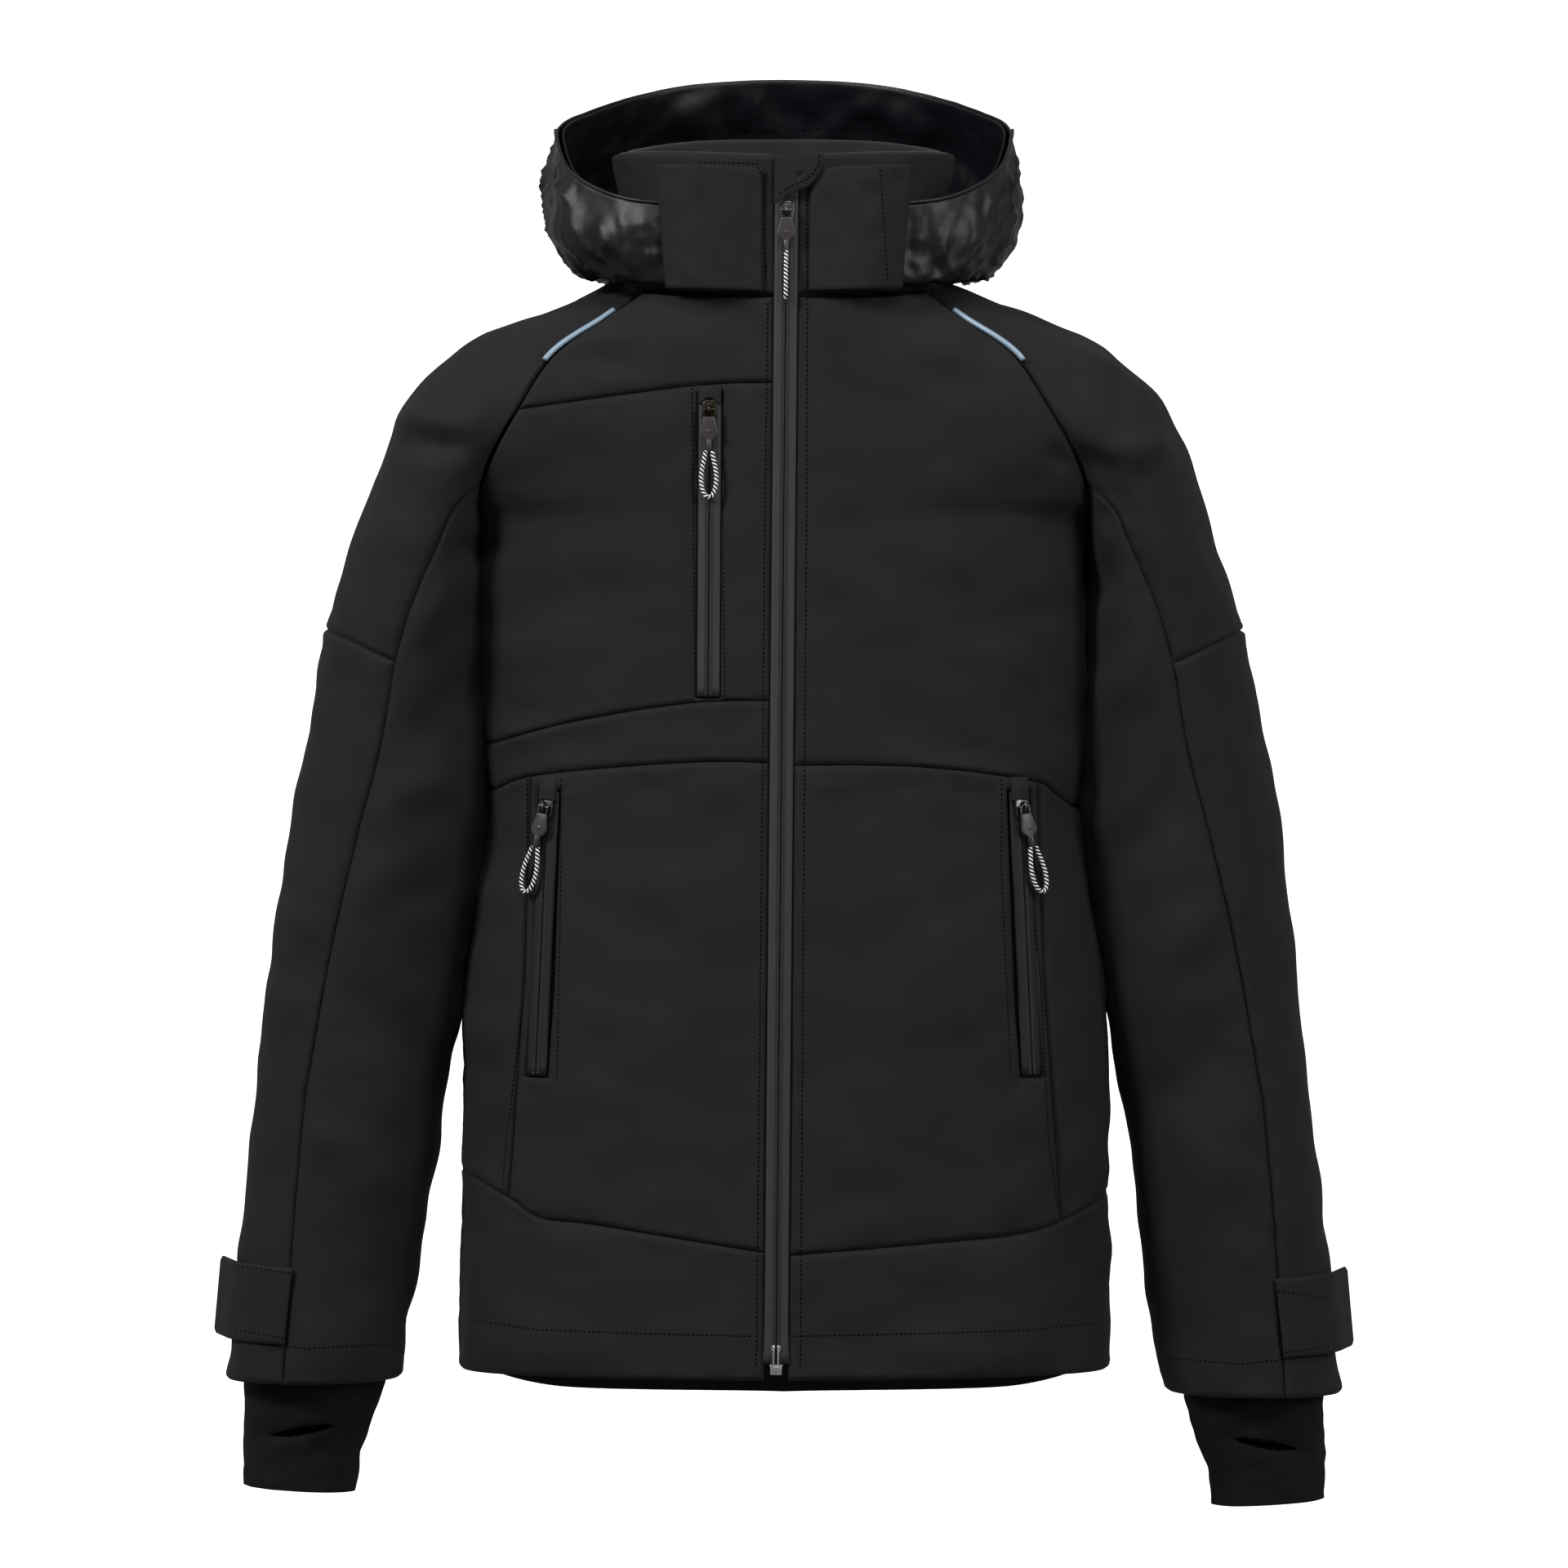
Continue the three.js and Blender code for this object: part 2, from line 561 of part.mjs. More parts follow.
const ZIP_PROUD = -0.4;
const chestFrame = frontFrame(
  -CHEST_ZIP_X, CHEST_ZIP_TOP_Z, -CHEST_ZIP_X - 1, CHEST_ZIP_BOTTOM_Z, ZIP_PROUD,
);
const POCKET_ZIP_OFFSET = 13;    // the pocket zip runs this far inside the side-front seam
const pocketFrames = {};
for (const side of [RIGHT, LEFT]) {
  const x = (z) => pocketSeam(side)(z) - side * POCKET_ZIP_OFFSET;
  const [top, bottom] = [POCKET_ZIP_TOP_Z, POCKET_ZIP_BOTTOM_Z];
  pocketFrames[side] = frontFrame(x(top), top, x(bottom), bottom, ZIP_PROUD);
}

add('chest_zip', pocketZip(chestFrame.userData.length), 'tape', chestFrame);
addPull('chest', chestFrame, { metal: 'brass' });
for (const side of [RIGHT, LEFT]) {
  const frame = pocketFrames[side];
  add(`${sideName[side]}_pocket_zip`, pocketZip(frame.userData.length), 'tape', frame);
  addPull(`${sideName[side]}_pocket`, frame, { metal: 'gunmetal', tilt: side * -0.2 });
}

const frontTop = V(zipX(FRONT_ZIP_TOP_Z), -frontDepth(FRONT_ZIP_TOP_Z), FRONT_ZIP_TOP_Z);
const frontEnd = FRONT_ZIP_BOTTOM_Z;
const frontBottom = V(zipX(frontEnd), -frontDepth(frontEnd), frontEnd);
const zipLine = zipFrame(frontTop, frontBottom, V(0, -1, 0));
for (const side of [RIGHT, LEFT]) {
  const half = barZ(halfZipSection(side), -zipLine.userData.length, 0);
  add(`front_zip_${sideName[side]}`, half, 'tape', zipLine);
}
const boxZ = -zipLine.userData.length - ZIP_BOX_HEIGHT / 2 - ZIP_BOX_GAP;
add('front_zip_box', box(ZIP_BOX_WIDTH, ZIP_BOX_DEPTH, ZIP_BOX_HEIGHT, 0, 0, boxZ), 'nickel', zipLine);
addPull('front', zipLine, { metal: 'gunmetal', loop: 2.2, edgeOn: true });

// ---- body panels --------------------------------------------------------

// Layers inside the shell, as the inset of their outer face and their thickness.
const LINING_LAYER = { from: LINING_INSET, thick: LINING };
const BAG_LAYER = { from: POCKET_BAG_INSET, thick: POCKET_BAG };

for (const side of [RIGHT, LEFT]) {
  const word = sideName[side];
  const zipEdge = besideZip(side);
  const sideEdge = atSide(FRONT, side);
  const hemSeam = side < 0 ? rightHemSeam : leftHemSeam;
  const waistSeam = side < 0 ? rightWaistSeam : leftWaistSeam;
  const seam = pocketSeam(side);
  const top = shifted(frontNeck, -G);
  if (side < 0) {
    const chestTop = shifted(yokeSeam, -G);
    const chest = frontPanel(side, zipEdge, sideEdge, shifted(bandTopSeam, G), chestTop, 8, 8);
    const yoke = frontPanel(side, zipEdge, sideEdge, shifted(yokeSeam, G), top, 7, 4);
    add('yoke_front_right', yoke, 'softshell');
    add('chest_panel_right', cutSlot(chest, chestFrame), 'softshell');
    const bandTop = shifted(bandTopSeam, -G);
    const band = frontPanel(side, zipEdge, sideEdge, shifted(waistSeam, G), bandTop, 8, 1);
    add('chest_band_right', band, 'softshell');
  } else {
    const upper = frontPanel(side, zipEdge, sideEdge, shifted(waistSeam, G), top, 8, 12);
    add('upper_front_left', upper, 'softshell');
  }
  const [low, high] = [shifted(hemSeam, G), shifted(waistSeam, -G)];
  const lower = frontPanel(side, zipEdge, besideLine(seam, -side * G), low, high, 6, 7);
  add(`lower_front_${word}`, cutSlot(lower, pocketFrames[side]), 'softshell');
  const flank = frontPanel(side, besideLine(seam, side * G), sideEdge, low, high, 4, 6);
  add(`side_front_${word}`, flank, 'softshell');
  const hem = frontPanel(side, zipEdge, sideEdge, frontHem, shifted(hemSeam, -G), 12, 2);
  add(`hem_front_${word}`, hem, 'softshell');
  const liningEdge = besideZip(side, 3);
  const [liningLow, liningHigh] = [shifted(frontHem, FRONT_LINING_RISE), shifted(frontNeck, -5)];
  const lining = frontPanel(side, liningEdge, sideEdge, liningLow, liningHigh, 7, 9, LINING_LAYER);
  add(`lining_front_${word}`, lining, 'lining');
  const bagInner = besideLine(() => side * POCKET_BAG_INNER_X, 0);
  const bagOuter = besideLine(seam, -side * POCKET_BAG_SETBACK);
  const [bagLow, bagHigh] = [() => POCKET_BAG_BOTTOM_Z, () => POCKET_BAG_TOP_Z];
  const bag = frontPanel(side, bagInner, bagOuter, bagLow, bagHigh, 4, 5, BAG_LAYER);
  add(`${word}_pocket_bag`, bag, 'lining');
}
const chestBagInner = besideLine(() => -CHEST_BAG_INNER_X, 0);
const chestBagOuter = besideLine(() => -CHEST_BAG_OUTER_X, 0);
const [chestBagLow, chestBagHigh] = [() => CHEST_BAG_BOTTOM_Z, () => CHEST_BAG_TOP_Z];
const chestBag = frontPanel(RIGHT, chestBagInner, chestBagOuter, chestBagLow, chestBagHigh, 4, 6, BAG_LAYER);
add('chest_pocket_bag', chestBag, 'lining');

function backPanel(low, high, cols, rows, extra = {}) {
  const [left, right] = [atSide(BACK, RIGHT), atSide(BACK, LEFT)];
  return bodyPanel({ face: BACK, left, right, low, high, cols, rows, ...extra });
}
add('back_yoke', backPanel(shifted(backYokeSeam, G), shifted(backNeck, -G), 12, 5), 'softshell');
add('back_panel', backPanel(shifted(backHemSeam, G), shifted(backYokeSeam, -G), 12, 12), 'softshell');
add('hem_back', backPanel(backHem, shifted(backHemSeam, -G), 12, 2), 'softshell');
const backLining = backPanel(
  shifted(backHem, BACK_LINING_RISE), shifted(backNeck, -BACK_LINING_RISE), 12, 16, LINING_LAYER,
);
add('lining_back', backLining, 'lining');

// ---- sleeves ------------------------------------------------------------

// Rings down the arm of the left side: [outer x, outer z, inner x, inner z, half depth].
const BESIDE_BODY = CHEST_HALF_WIDTH + SLEEVE_CLEARANCE;
const SLEEVE_RINGS = [
  [193, -48, BESIDE_BODY - 1, -178, 93], [220, -66, BESIDE_BODY, -188, 91],
  [247, -92, BESIDE_BODY + 1, -202, 88], [270, -146, BESIDE_BODY + 1, -226, 84],
  [287, -194, BESIDE_BODY + 1, -255, 80], [301, -241, BESIDE_BODY + 1, -290, 76],
  [313, -306, BESIDE_BODY, -340, 72], [324, -365, BESIDE_BODY + 1, -392, 69],
  [336, -455, 214, -470, 66], [345, -541, 223, -549, 64], [353, -600, 231, -607, 63],
  [359, -654, 239, -660, 61], [366, CUFF_Z, 250, CUFF_Z, 60],
];
const LAST_RING = SLEEVE_RINGS.length;
const ELBOW_RING = 6;
const ARM_Y = 4;

function ringPoint(ring, phi, inset) {
  const turn = ((phi % 360) + 360) % 360;
  const face = turn <= 180 ? FRONT : BACK;
  const share = face === FRONT ? turn / 180 : (360 - turn) / 180;
  if (ring === 0) {
    const point = RAGLAN[face].getPointAt(clamp(share, 0, 1));
    const centre = V(150, 4, -90);
    const inward = centre.sub(point).normalize();
    return point.addScaledVector(inward, inset);
  }
  const [ox, oz, ix, iz, depth] = SLEEVE_RINGS[ring - 1];
  const angle = THREE.MathUtils.degToRad(turn);
  const half = V((ox - ix) / 2, 0, (oz - iz) / 2);
  const size = half.length();
  const reach = Math.cos(angle) * (size - inset) / size;
  const y = ARM_Y - Math.sin(angle) * (depth - inset);
  return V((ox + ix) / 2 + half.x * reach, y, (oz + iz) / 2 + half.z * reach);
}

// A point on a sleeve. s counts rings from the armhole seam, phi turns from outside to front.
function sleevePoint(side, phi, s, inset = 0) {
  const ring = Math.min(LAST_RING - 1, Math.floor(s));
  const point = ringPoint(ring, phi, inset).lerp(ringPoint(ring + 1, phi, inset), s - ring);
  if (side > 0) {
    point.z += LEFT_SLEEVE_DROP * clamp(point.z / CUFF_Z, 0, 1.1) ** 2 * -1;
  }
  point.x *= side;
  return point;
}

// The two long sleeve seams, as phi against ring number.
const FRONT_SLEEVE_SEAM = [[0, 136], [3, 112], [5, 93], [7, 82], [9, 69], [10, 65], [12, 70], [13, 74]];
const BACK_SLEEVE_SEAM = [[0, 226], [5, 258], [9, 282], [13, 284]];
const frontSleeveSeam = (s) => along(FRONT_SLEEVE_SEAM, s);
const backSleeveSeam = (s) => along(BACK_SLEEVE_SEAM, s);
const ARMHOLE_GAP = 3;
const SLEEVE_SEAM_TURN = 0.55;   // half a sleeve seam's gap, in degrees round the sleeve
const ELBOW_SEAM = 0.012;        // half the elbow seam's gap, in rings

// A sleeve panel has one row of facets between each two rings from first to last.
function sleevePanel(side, start, end, first, last, cols) {
  const place = (u, t, inset) => {
    let s = lerp(first, last, t);
    const phi = lerp(start(s) + SLEEVE_SEAM_TURN, end(s) - SLEEVE_SEAM_TURN, u);
    if (s === 0) {
      s = ARMHOLE_GAP / ringPoint(0, phi, 0).distanceTo(ringPoint(1, phi, 0));
    } else if (s === ELBOW_RING && first === ELBOW_RING) {
      s += ELBOW_SEAM;
    } else if (s === ELBOW_RING && last === ELBOW_RING) {
      s -= ELBOW_SEAM;
    }
    return sleevePoint(side, phi, s, inset);
  };
  const rows = last - first;
  return sheet(grid(rows, cols, (u, t) => place(u, t, 0)), grid(rows, cols, (u, t) => place(u, t, SLEEVE)));
}

for (const side of [RIGHT, LEFT]) {
  const word = sideName[side];
  const outerStart = (s) => backSleeveSeam(s) - 360;
  const upper = sleevePanel(side, outerStart, frontSleeveSeam, 0, ELBOW_RING, 12);
  const lower = sleevePanel(side, outerStart, frontSleeveSeam, ELBOW_RING, LAST_RING, 10);
  const inner = sleevePanel(side, frontSleeveSeam, backSleeveSeam, 0, LAST_RING, 8);
  add(`sleeve_upper_${word}`, upper, 'softshell');
  add(`sleeve_lower_${word}`, lower, 'softshell');
  add(`sleeve_inner_${word}`, inner, 'softshell');
}

// ---- wrist gaiters, with a thumb hole through the front -----------------

// Rings of the left gaiter: [height, inner x, outer x, half depth].
const GAITER_RINGS = [
  [GAITER_START_Z, 258, 351, 42], [-735, 261, 353, 42], [-752, 267, 353, 39],
  [-781, 277, 354, 34], [GAITER_END_Z, 280, 354, 31],
];
const GAITER_SIDES = 16;

function gaiterGeometry(side) {
  const drop = side > 0 ? LEFT_SLEEVE_DROP : 0;
  const wall = (inset) => GAITER_RINGS.map(([z, inner, outer, depth]) =>
    Array.from({ length: GAITER_SIDES }, (_, i) => {
      const angle = (i / GAITER_SIDES) * Math.PI * 2;
      const x = (inner + outer) / 2 + Math.cos(angle) * ((outer - inner) / 2 - inset);
      return V(side * x, ARM_Y + Math.sin(angle) * (depth - inset), z - drop);
    }));
  const tube = sheet(wall(0), wall(GAITER), true);
  const hole = new THREE.CylinderGeometry(THUMB_HOLE_WIDTH / 2, THUMB_HOLE_WIDTH / 2, 60, 14);
  hole.scale(1, 1, THUMB_HOLE_HEIGHT / THUMB_HOLE_WIDTH);
  hole.translate(side * 313, -40, -763 - drop);
  return geometryOf(solidOf(tube).subtract(solidOf(hole)));
}

// ---- cuff tabs ----------------------------------------------------------

const TAB_TOP_S = 11.99;
const TAB_LOW_S = TAB_TOP_S + TAB_WIDTH / 76;
const TAB_SEWN_PHI = 73;
const TAB_LEAVES_PHI = 14;       // the tab lies on the sleeve as far as this
const TAB_FREE = 36;             // and its free end runs straight on for this far
const TAB_TURNS = 5;
const TAB_FREE_STEPS = 2;
// The hook patch lies on the free end, between these shares of the tab's length.
const PATCH_FROM = 1.5;
const PATCH_TO = 1.92;

// The tab and the hook patch inside its free end, as sheets between two clearances.
function tabSheet(side, near, far, fromShare, toShare, cols) {
  const place = (u, t, clearance) => {
    const s = lerp(TAB_TOP_S, TAB_LOW_S, t);
    const share = lerp(fromShare, toShare, u);
    if (share <= 1) {
      return sleevePoint(side, lerp(TAB_SEWN_PHI, TAB_LEAVES_PHI, share), s, -clearance);
    }
    const leave = sleevePoint(side, TAB_LEAVES_PHI, s, -clearance);
    const before = sleevePoint(side, TAB_LEAVES_PHI + 6, s, -clearance);
    const direction = leave.clone().sub(before).normalize();
    return leave.addScaledVector(direction, TAB_FREE * (share - 1));
  };
  const far0 = grid(2, cols, (u, t) => place(u, t, far));
  const near0 = grid(2, cols, (u, t) => place(u, t, near));
  return sheet(far0, near0);
}

for (const side of [RIGHT, LEFT]) {
  const word = sideName[side];
  add(`wrist_gaiter_${word}`, gaiterGeometry(side), 'knit');
  const tabFar = TAB_CLEARANCE + TAB_THICKNESS;
  const tab = tabSheet(side, TAB_CLEARANCE, tabFar, 0, 2, TAB_TURNS + TAB_FREE_STEPS);
  add(`cuff_tab_${word}`, tab, 'softshell');
  const patchFar = TAB_CLEARANCE - PATCH_GAP;
  const patch = tabSheet(side, patchFar - HOOK_PATCH, patchFar, PATCH_FROM, PATCH_TO, 2);
  add(`cuff_hook_patch_${word}`, patch, 'tape');
}

// ---- collar -------------------------------------------------------------

const mirrored = (points) => points.slice(0, -1).toReversed().map((p) => V(-p.x, p.y, p.z));
const COLLAR_BASE_LIFT = 2.8;     // the collar stands this far clear of the neck seam
const frontAt = (z) => -frontDepth(z);

// Right half of the collar's lower and upper edge, from the zip to the centre back.
const LOWER_HALF = [
  V(zipX(FRONT_NECK_Z) - ZIP_EDGE, frontAt(FRONT_NECK_Z), FRONT_NECK_Z),
  V(-50, -79.5, -30), V(-80, -60, -27.5), V(-94, -38, -24), V(-NECK_SIDE_HALF_WIDTH, 8, -9),
  V(-92, 46, -1.5), V(-60, 70, 6), V(0, BACK_DEPTH_NECK, BACK_NECK_Z),
];
const UPPER_HALF = [
  V(zipX(COLLAR_FRONT_TOP_Z) - ZIP_EDGE, frontAt(COLLAR_FRONT_TOP_Z), COLLAR_FRONT_TOP_Z),
  V(-55, -78, COLLAR_FRONT_TOP_Z + 2), V(-92, -60, COLLAR_SIDE_TOP_Z - 2), V(-109, -30, COLLAR_SIDE_TOP_Z),
  V(-COLLAR_TOP_HALF_WIDTH, 8, COLLAR_SIDE_TOP_Z + 2), V(-102, 50, COLLAR_SIDE_TOP_Z + 10),
  V(-62, 80, COLLAR_BACK_TOP_Z - 2), V(0, 88, COLLAR_BACK_TOP_Z),
];
function edgeCurve(half) {
  const other = mirrored(half);
  const last = other[other.length - 1];
  last.x += 2 * zipX(last.z);
  return new THREE.CatmullRomCurve3([...half, ...other]);
}
const collarLower = edgeCurve(LOWER_HALF);
const collarUpper = edgeCurve(UPPER_HALF);

// A point of the collar's outer face; share runs round it from the right front to the left.
function collarPoint(share, up, inset = 0) {
  const step = 0.004;
  const at = (w) => collarLower.getPoint(clamp(w, 0, 1)).lerp(collarUpper.getPoint(clamp(w, 0, 1)), up);
  const tangent = at(share + step).sub(at(share - step));
  const outward = V(-tangent.y, tangent.x, 0).normalize();
  const point = at(share).addScaledVector(outward, -inset);
  point.z += COLLAR_BASE_LIFT * (1 - up);
  return point;
}

function collarSheet(near, far, shareFrom, shareTo, upFrom, upTo, cols, rows) {
  const place = (u, t, inset) => collarPoint(lerp(shareFrom, shareTo, u), lerp(upFrom, upTo, t), inset(u));
  return sheet(grid(rows, cols, (u, t) => place(u, t, near)), grid(rows, cols, (u, t) => place(u, t, far)));
}

const liningIn = COLLAR_SHELL + COLLAR_LAYER_GAP;
add('collar_shell', collarSheet(() => 0, () => COLLAR_SHELL, 0, 1, 0, 1, 28, 2), 'softshell');
const liningOut = liningIn + COLLAR_LINING;
const fleece = collarSheet(() => liningIn, () => liningOut, 0.004, 0.996, 0.03, 1, 28, 2);
add('collar_lining', fleece, 'fleece');

// The front flaps are sewn to the collar beside the zip, and the ends of the hood go under them.
function shareAtX(x) {
  let low = 0;
  let high = 0.5;
  for (let pass = 0; pass < 30; pass += 1) {
    const middle = (low + high) / 2;
    if (Math.abs(collarPoint(middle, 0.5).x) < x) {
      low = middle;
    } else {
      high = middle;
    }
  }
  return low;
}
const FLAP_START_SHARE = shareAtX(ZIP_EDGE + 6);
const FLAP_END_SHARE = shareAtX(FLAP_END_X);
const flapLift = (u) => lerp(0.6, FLAP_CLEARANCE, Math.min(1, u * 1.6));
for (const side of [RIGHT, LEFT]) {
  const mirrorShare = (share) => (side < 0 ? share : 1 - share);
  const near = (u) => -flapLift(u);
  const far = (u) => -flapLift(u) - FLAP;
  const [start, end] = [mirrorShare(FLAP_START_SHARE), mirrorShare(FLAP_END_SHARE)];
  const flap = collarSheet(far, near, start, end, 0.01, 0.9, 6, 3);
  add(`collar_flap_${sideName[side]}`, flap, 'softshell');
}

// The garage folds over the top of the zip: its outline, its thickness and its gap to the flaps.
const GARAGE_OUTLINE = [[-6, 59], [25, 60], [25, 50], [17, 41], [7, 36], [-6, 36]];
const GARAGE_MIDDLE_Z = 48;
const GARAGE = 2;
const GARAGE_GAP = 2.4;
const garageY = -frontDepth(GARAGE_MIDDLE_Z) - FLAP - GARAGE_GAP;
add('zip_garage', plateXZ(GARAGE_OUTLINE, garageY - GARAGE, garageY), 'softshell');

// ---- piping along the upper front of the armhole seam -------------------

const PIPING_RADIUS = 1.8;
const PIPING_PROUD = 3;
for (const side of [RIGHT, LEFT]) {
  const points = [0.27, 0.31, 0.35, 0.39, 0.43].map((u) => {
    const p = RAGLAN[FRONT].getPoint(u).addScaledVector(V(0.42, -0.72, 0.55), PIPING_PROUD);
    return V(p.x * side, p.y, p.z);
  });
  add(`piping_${sideName[side]}`, cordAlong(points, PIPING_RADIUS * 2, 8), 'reflective');
}

// ---- hanger loop --------------------------------------------------------

const LOOP_Y = 62;
const LOOP_HALF_WIDTH = 22;
const LOOP_DROP = 17;
const LOOP_TAPE = 5;
const LOOP_THICKNESS = 1.2;
const LOOP_SEWN_Y = 81;          // its ends are sewn to the inside of the back yoke here
const loopHalf = [
  V(-LOOP_HALF_WIDTH, LOOP_SEWN_Y, -LOOP_DROP),
  V(-LOOP_HALF_WIDTH + 1, lerp(LOOP_SEWN_Y, LOOP_Y, 0.5), -LOOP_DROP / 2),
  V(-LOOP_HALF_WIDTH + 8, LOOP_Y + 3, -2), V(0, LOOP_Y, 0),
];
const loopPath = new THREE.CatmullRomCurve3([...loopHalf, ...mirrored(loopHalf)]);
const tapeSection = new THREE.Shape([
  new THREE.Vector2(-LOOP_THICKNESS / 2, -LOOP_TAPE / 2), new THREE.Vector2(LOOP_THICKNESS / 2, -LOOP_TAPE / 2),
  new THREE.Vector2(LOOP_THICKNESS / 2, LOOP_TAPE / 2), new THREE.Vector2(-LOOP_THICKNESS / 2, LOOP_TAPE / 2),
]);
const loopForm = { steps: 12, bevelEnabled: false, extrudePath: loopPath };
add('hanger_loop', new THREE.ExtrudeGeometry(tapeSection, loopForm), 'tape');

// ---- hood, lying open behind the collar ---------------------------------

// Four lines run round the left half of the hood, from its front end to the centre back:
// the seam at the neck, the bottom of the bowl, its widest line and the rim.
const HOOD_NECK = [
  V(66, -79, -24), V(90, -66, -21), V(100, -46, -17), V(103, -28, -12), V(104, 8, -3),
  V(102, 34, 3), V(92, 60, 8), V(70, 78, 12), V(40, 88, 15), V(0, 92, 16),
];
const HOOD_LOW = [
  V(67, -80, -20), V(95, -70, -20), V(113, -54, -19), V(128, -30, -15), V(136, 6, -8),
  V(134, 44, -6), V(118, 92, -8), V(90, 126, -9), V(50, 148, -9), V(0, 155, -9),
];
const HOOD_WIDE = [
  V(68, -82, 4), V(102, -77, 6), V(127, -60, 10), V(146, -34, 18), V(155, 4, 36),
  V(156, 34, 44), V(146, 88, 52), V(112, 138, 57), V(60, 170, 60), V(0, 180, 61),
];
const HOOD_RIM = [
  V(68, -82, 28), V(100, -76, 32), V(122, -58, 41), V(139, -38, 54), V(148, -8, 75),
  V(149, 24, 90), V(132, 72, 105), V(98, 116, 121), V(60, 142, 131), V(0, 152, 135),
];
const hoodLines = [HOOD_NECK, HOOD_LOW, HOOD_WIDE, HOOD_RIM].map((half) =>
  new THREE.CatmullRomCurve3([...half, ...mirrored(half)]));

function hoodPoint(round, up) {
  const profile = new THREE.CatmullRomCurve3(hoodLines.map((line) => line.getPoint(clamp(round, 0, 1))));
  return profile.getPoint(clamp(up, 0, 1));
}

function hoodNormal(round, up) {
  const step = 0.01;
  const across = hoodPoint(round + step, up).sub(hoodPoint(round - step, up));
  const upwards = hoodPoint(round, up + step).sub(hoodPoint(round, up - step));
  return across.cross(upwards).normalize();
}

function hoodSheet(near, far, cols, rows) {
  const place = (u, t, inset) => hoodPoint(u, t).addScaledVector(hoodNormal(u, t), -inset);
  return sheet(grid(rows, cols, (u, t) => place(u, t, near)), grid(rows, cols, (u, t) => place(u, t, far)));
}

// The space that the crown takes, outside a cylinder round the axis that it swings on.
function crownSpace(grow) {
  const reach = 500;
  const floor = HOOD_SPLIT_Z - grow;
  const block = box(reach * 2, reach * 2, reach, 0, 0, floor + reach / 2);
  const radius = HOOD_SPLIT_RADIUS - grow;
  const core = new THREE.CylinderGeometry(radius, radius, reach, 48).rotateZ(Math.PI / 2);
  core.translate(0, HOOD_AXIS_Y, HOOD_AXIS_Z);
  return solidOf(block).subtract(solidOf(core));
}

const HOOD_COLS = 36;
const HOOD_ROWS = 7;
const hoodLiningIn = HOOD_SHELL + HOOD_LAYER_GAP;
const hoodFull = solidOf(hoodSheet(0, hoodLiningIn + HOOD_LINING, HOOD_COLS, HOOD_ROWS));
const hoodShell = solidOf(hoodSheet(0, HOOD_SHELL, HOOD_COLS, HOOD_ROWS));
const hoodLining = solidOf(hoodSheet(hoodLiningIn, hoodLiningIn + HOOD_LINING, HOOD_COLS, HOOD_ROWS));
add('hood_base', geometryOf(hoodFull.subtract(crownSpace(HOOD_SPLIT_GAP))), 'nylon');
add('hood_crown', geometryOf(hoodShell.intersect(crownSpace(0))), 'softshell');
add('hood_crown_lining', geometryOf(hoodLining.intersect(crownSpace(0))), 'nylon');

// The origin of the finished jacket is where the hanger loop bears on its hook.
jacket.position.set(0, -LOOP_Y, 0);
const hung = new THREE.Group();
hung.add(jacket);

export default hung;
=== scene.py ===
"""Looks of a hooded, padded softshell ski jacket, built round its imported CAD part."""
import math

import bmesh
import bpy
import numpy as np
from mathutils import Matrix, Vector
from mathutils.bvhtree import BVHTree


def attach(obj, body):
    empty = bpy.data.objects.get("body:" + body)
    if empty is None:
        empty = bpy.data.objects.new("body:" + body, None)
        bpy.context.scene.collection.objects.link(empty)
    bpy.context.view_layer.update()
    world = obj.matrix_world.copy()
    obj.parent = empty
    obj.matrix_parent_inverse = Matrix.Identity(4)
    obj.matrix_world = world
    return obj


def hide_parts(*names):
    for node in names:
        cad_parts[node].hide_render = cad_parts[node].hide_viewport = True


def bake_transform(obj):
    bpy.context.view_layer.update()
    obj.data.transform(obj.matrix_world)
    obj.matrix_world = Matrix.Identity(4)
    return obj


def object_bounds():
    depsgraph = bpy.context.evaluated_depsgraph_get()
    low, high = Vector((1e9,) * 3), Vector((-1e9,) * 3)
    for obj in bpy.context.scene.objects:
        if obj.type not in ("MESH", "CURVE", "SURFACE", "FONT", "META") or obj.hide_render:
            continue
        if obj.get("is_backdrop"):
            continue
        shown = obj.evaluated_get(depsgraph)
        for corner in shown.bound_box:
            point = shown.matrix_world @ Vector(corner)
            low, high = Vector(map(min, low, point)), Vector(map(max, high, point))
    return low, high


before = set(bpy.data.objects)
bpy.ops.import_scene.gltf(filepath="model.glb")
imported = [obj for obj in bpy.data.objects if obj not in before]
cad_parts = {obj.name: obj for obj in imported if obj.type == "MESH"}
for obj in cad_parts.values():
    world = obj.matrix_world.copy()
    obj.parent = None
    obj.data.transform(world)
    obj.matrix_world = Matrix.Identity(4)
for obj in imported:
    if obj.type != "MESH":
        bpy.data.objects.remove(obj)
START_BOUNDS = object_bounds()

bl_info = {
    "name": "Ski Jacket",
    "version": (1, 0, 0),
    "blender": (4, 5, 0),
    "location": "View3D > Sidebar > Jacket",
    "description": "Builds the cloth, zips, cords and studio of a padded ski jacket",
    "category": "Object",
}

# ---- sizes, in millimetres, with the middle of the body at y = 0 ---------------

MM = 0.001
LOOP_Y = 62.0                    # the hanger loop, which is the origin, is this far behind the middle
FRONT, BACK = -1, 1
RIGHT, LEFT = -1, 1
SIDES = (RIGHT, LEFT)
WORD = {RIGHT: "right", LEFT: "left"}

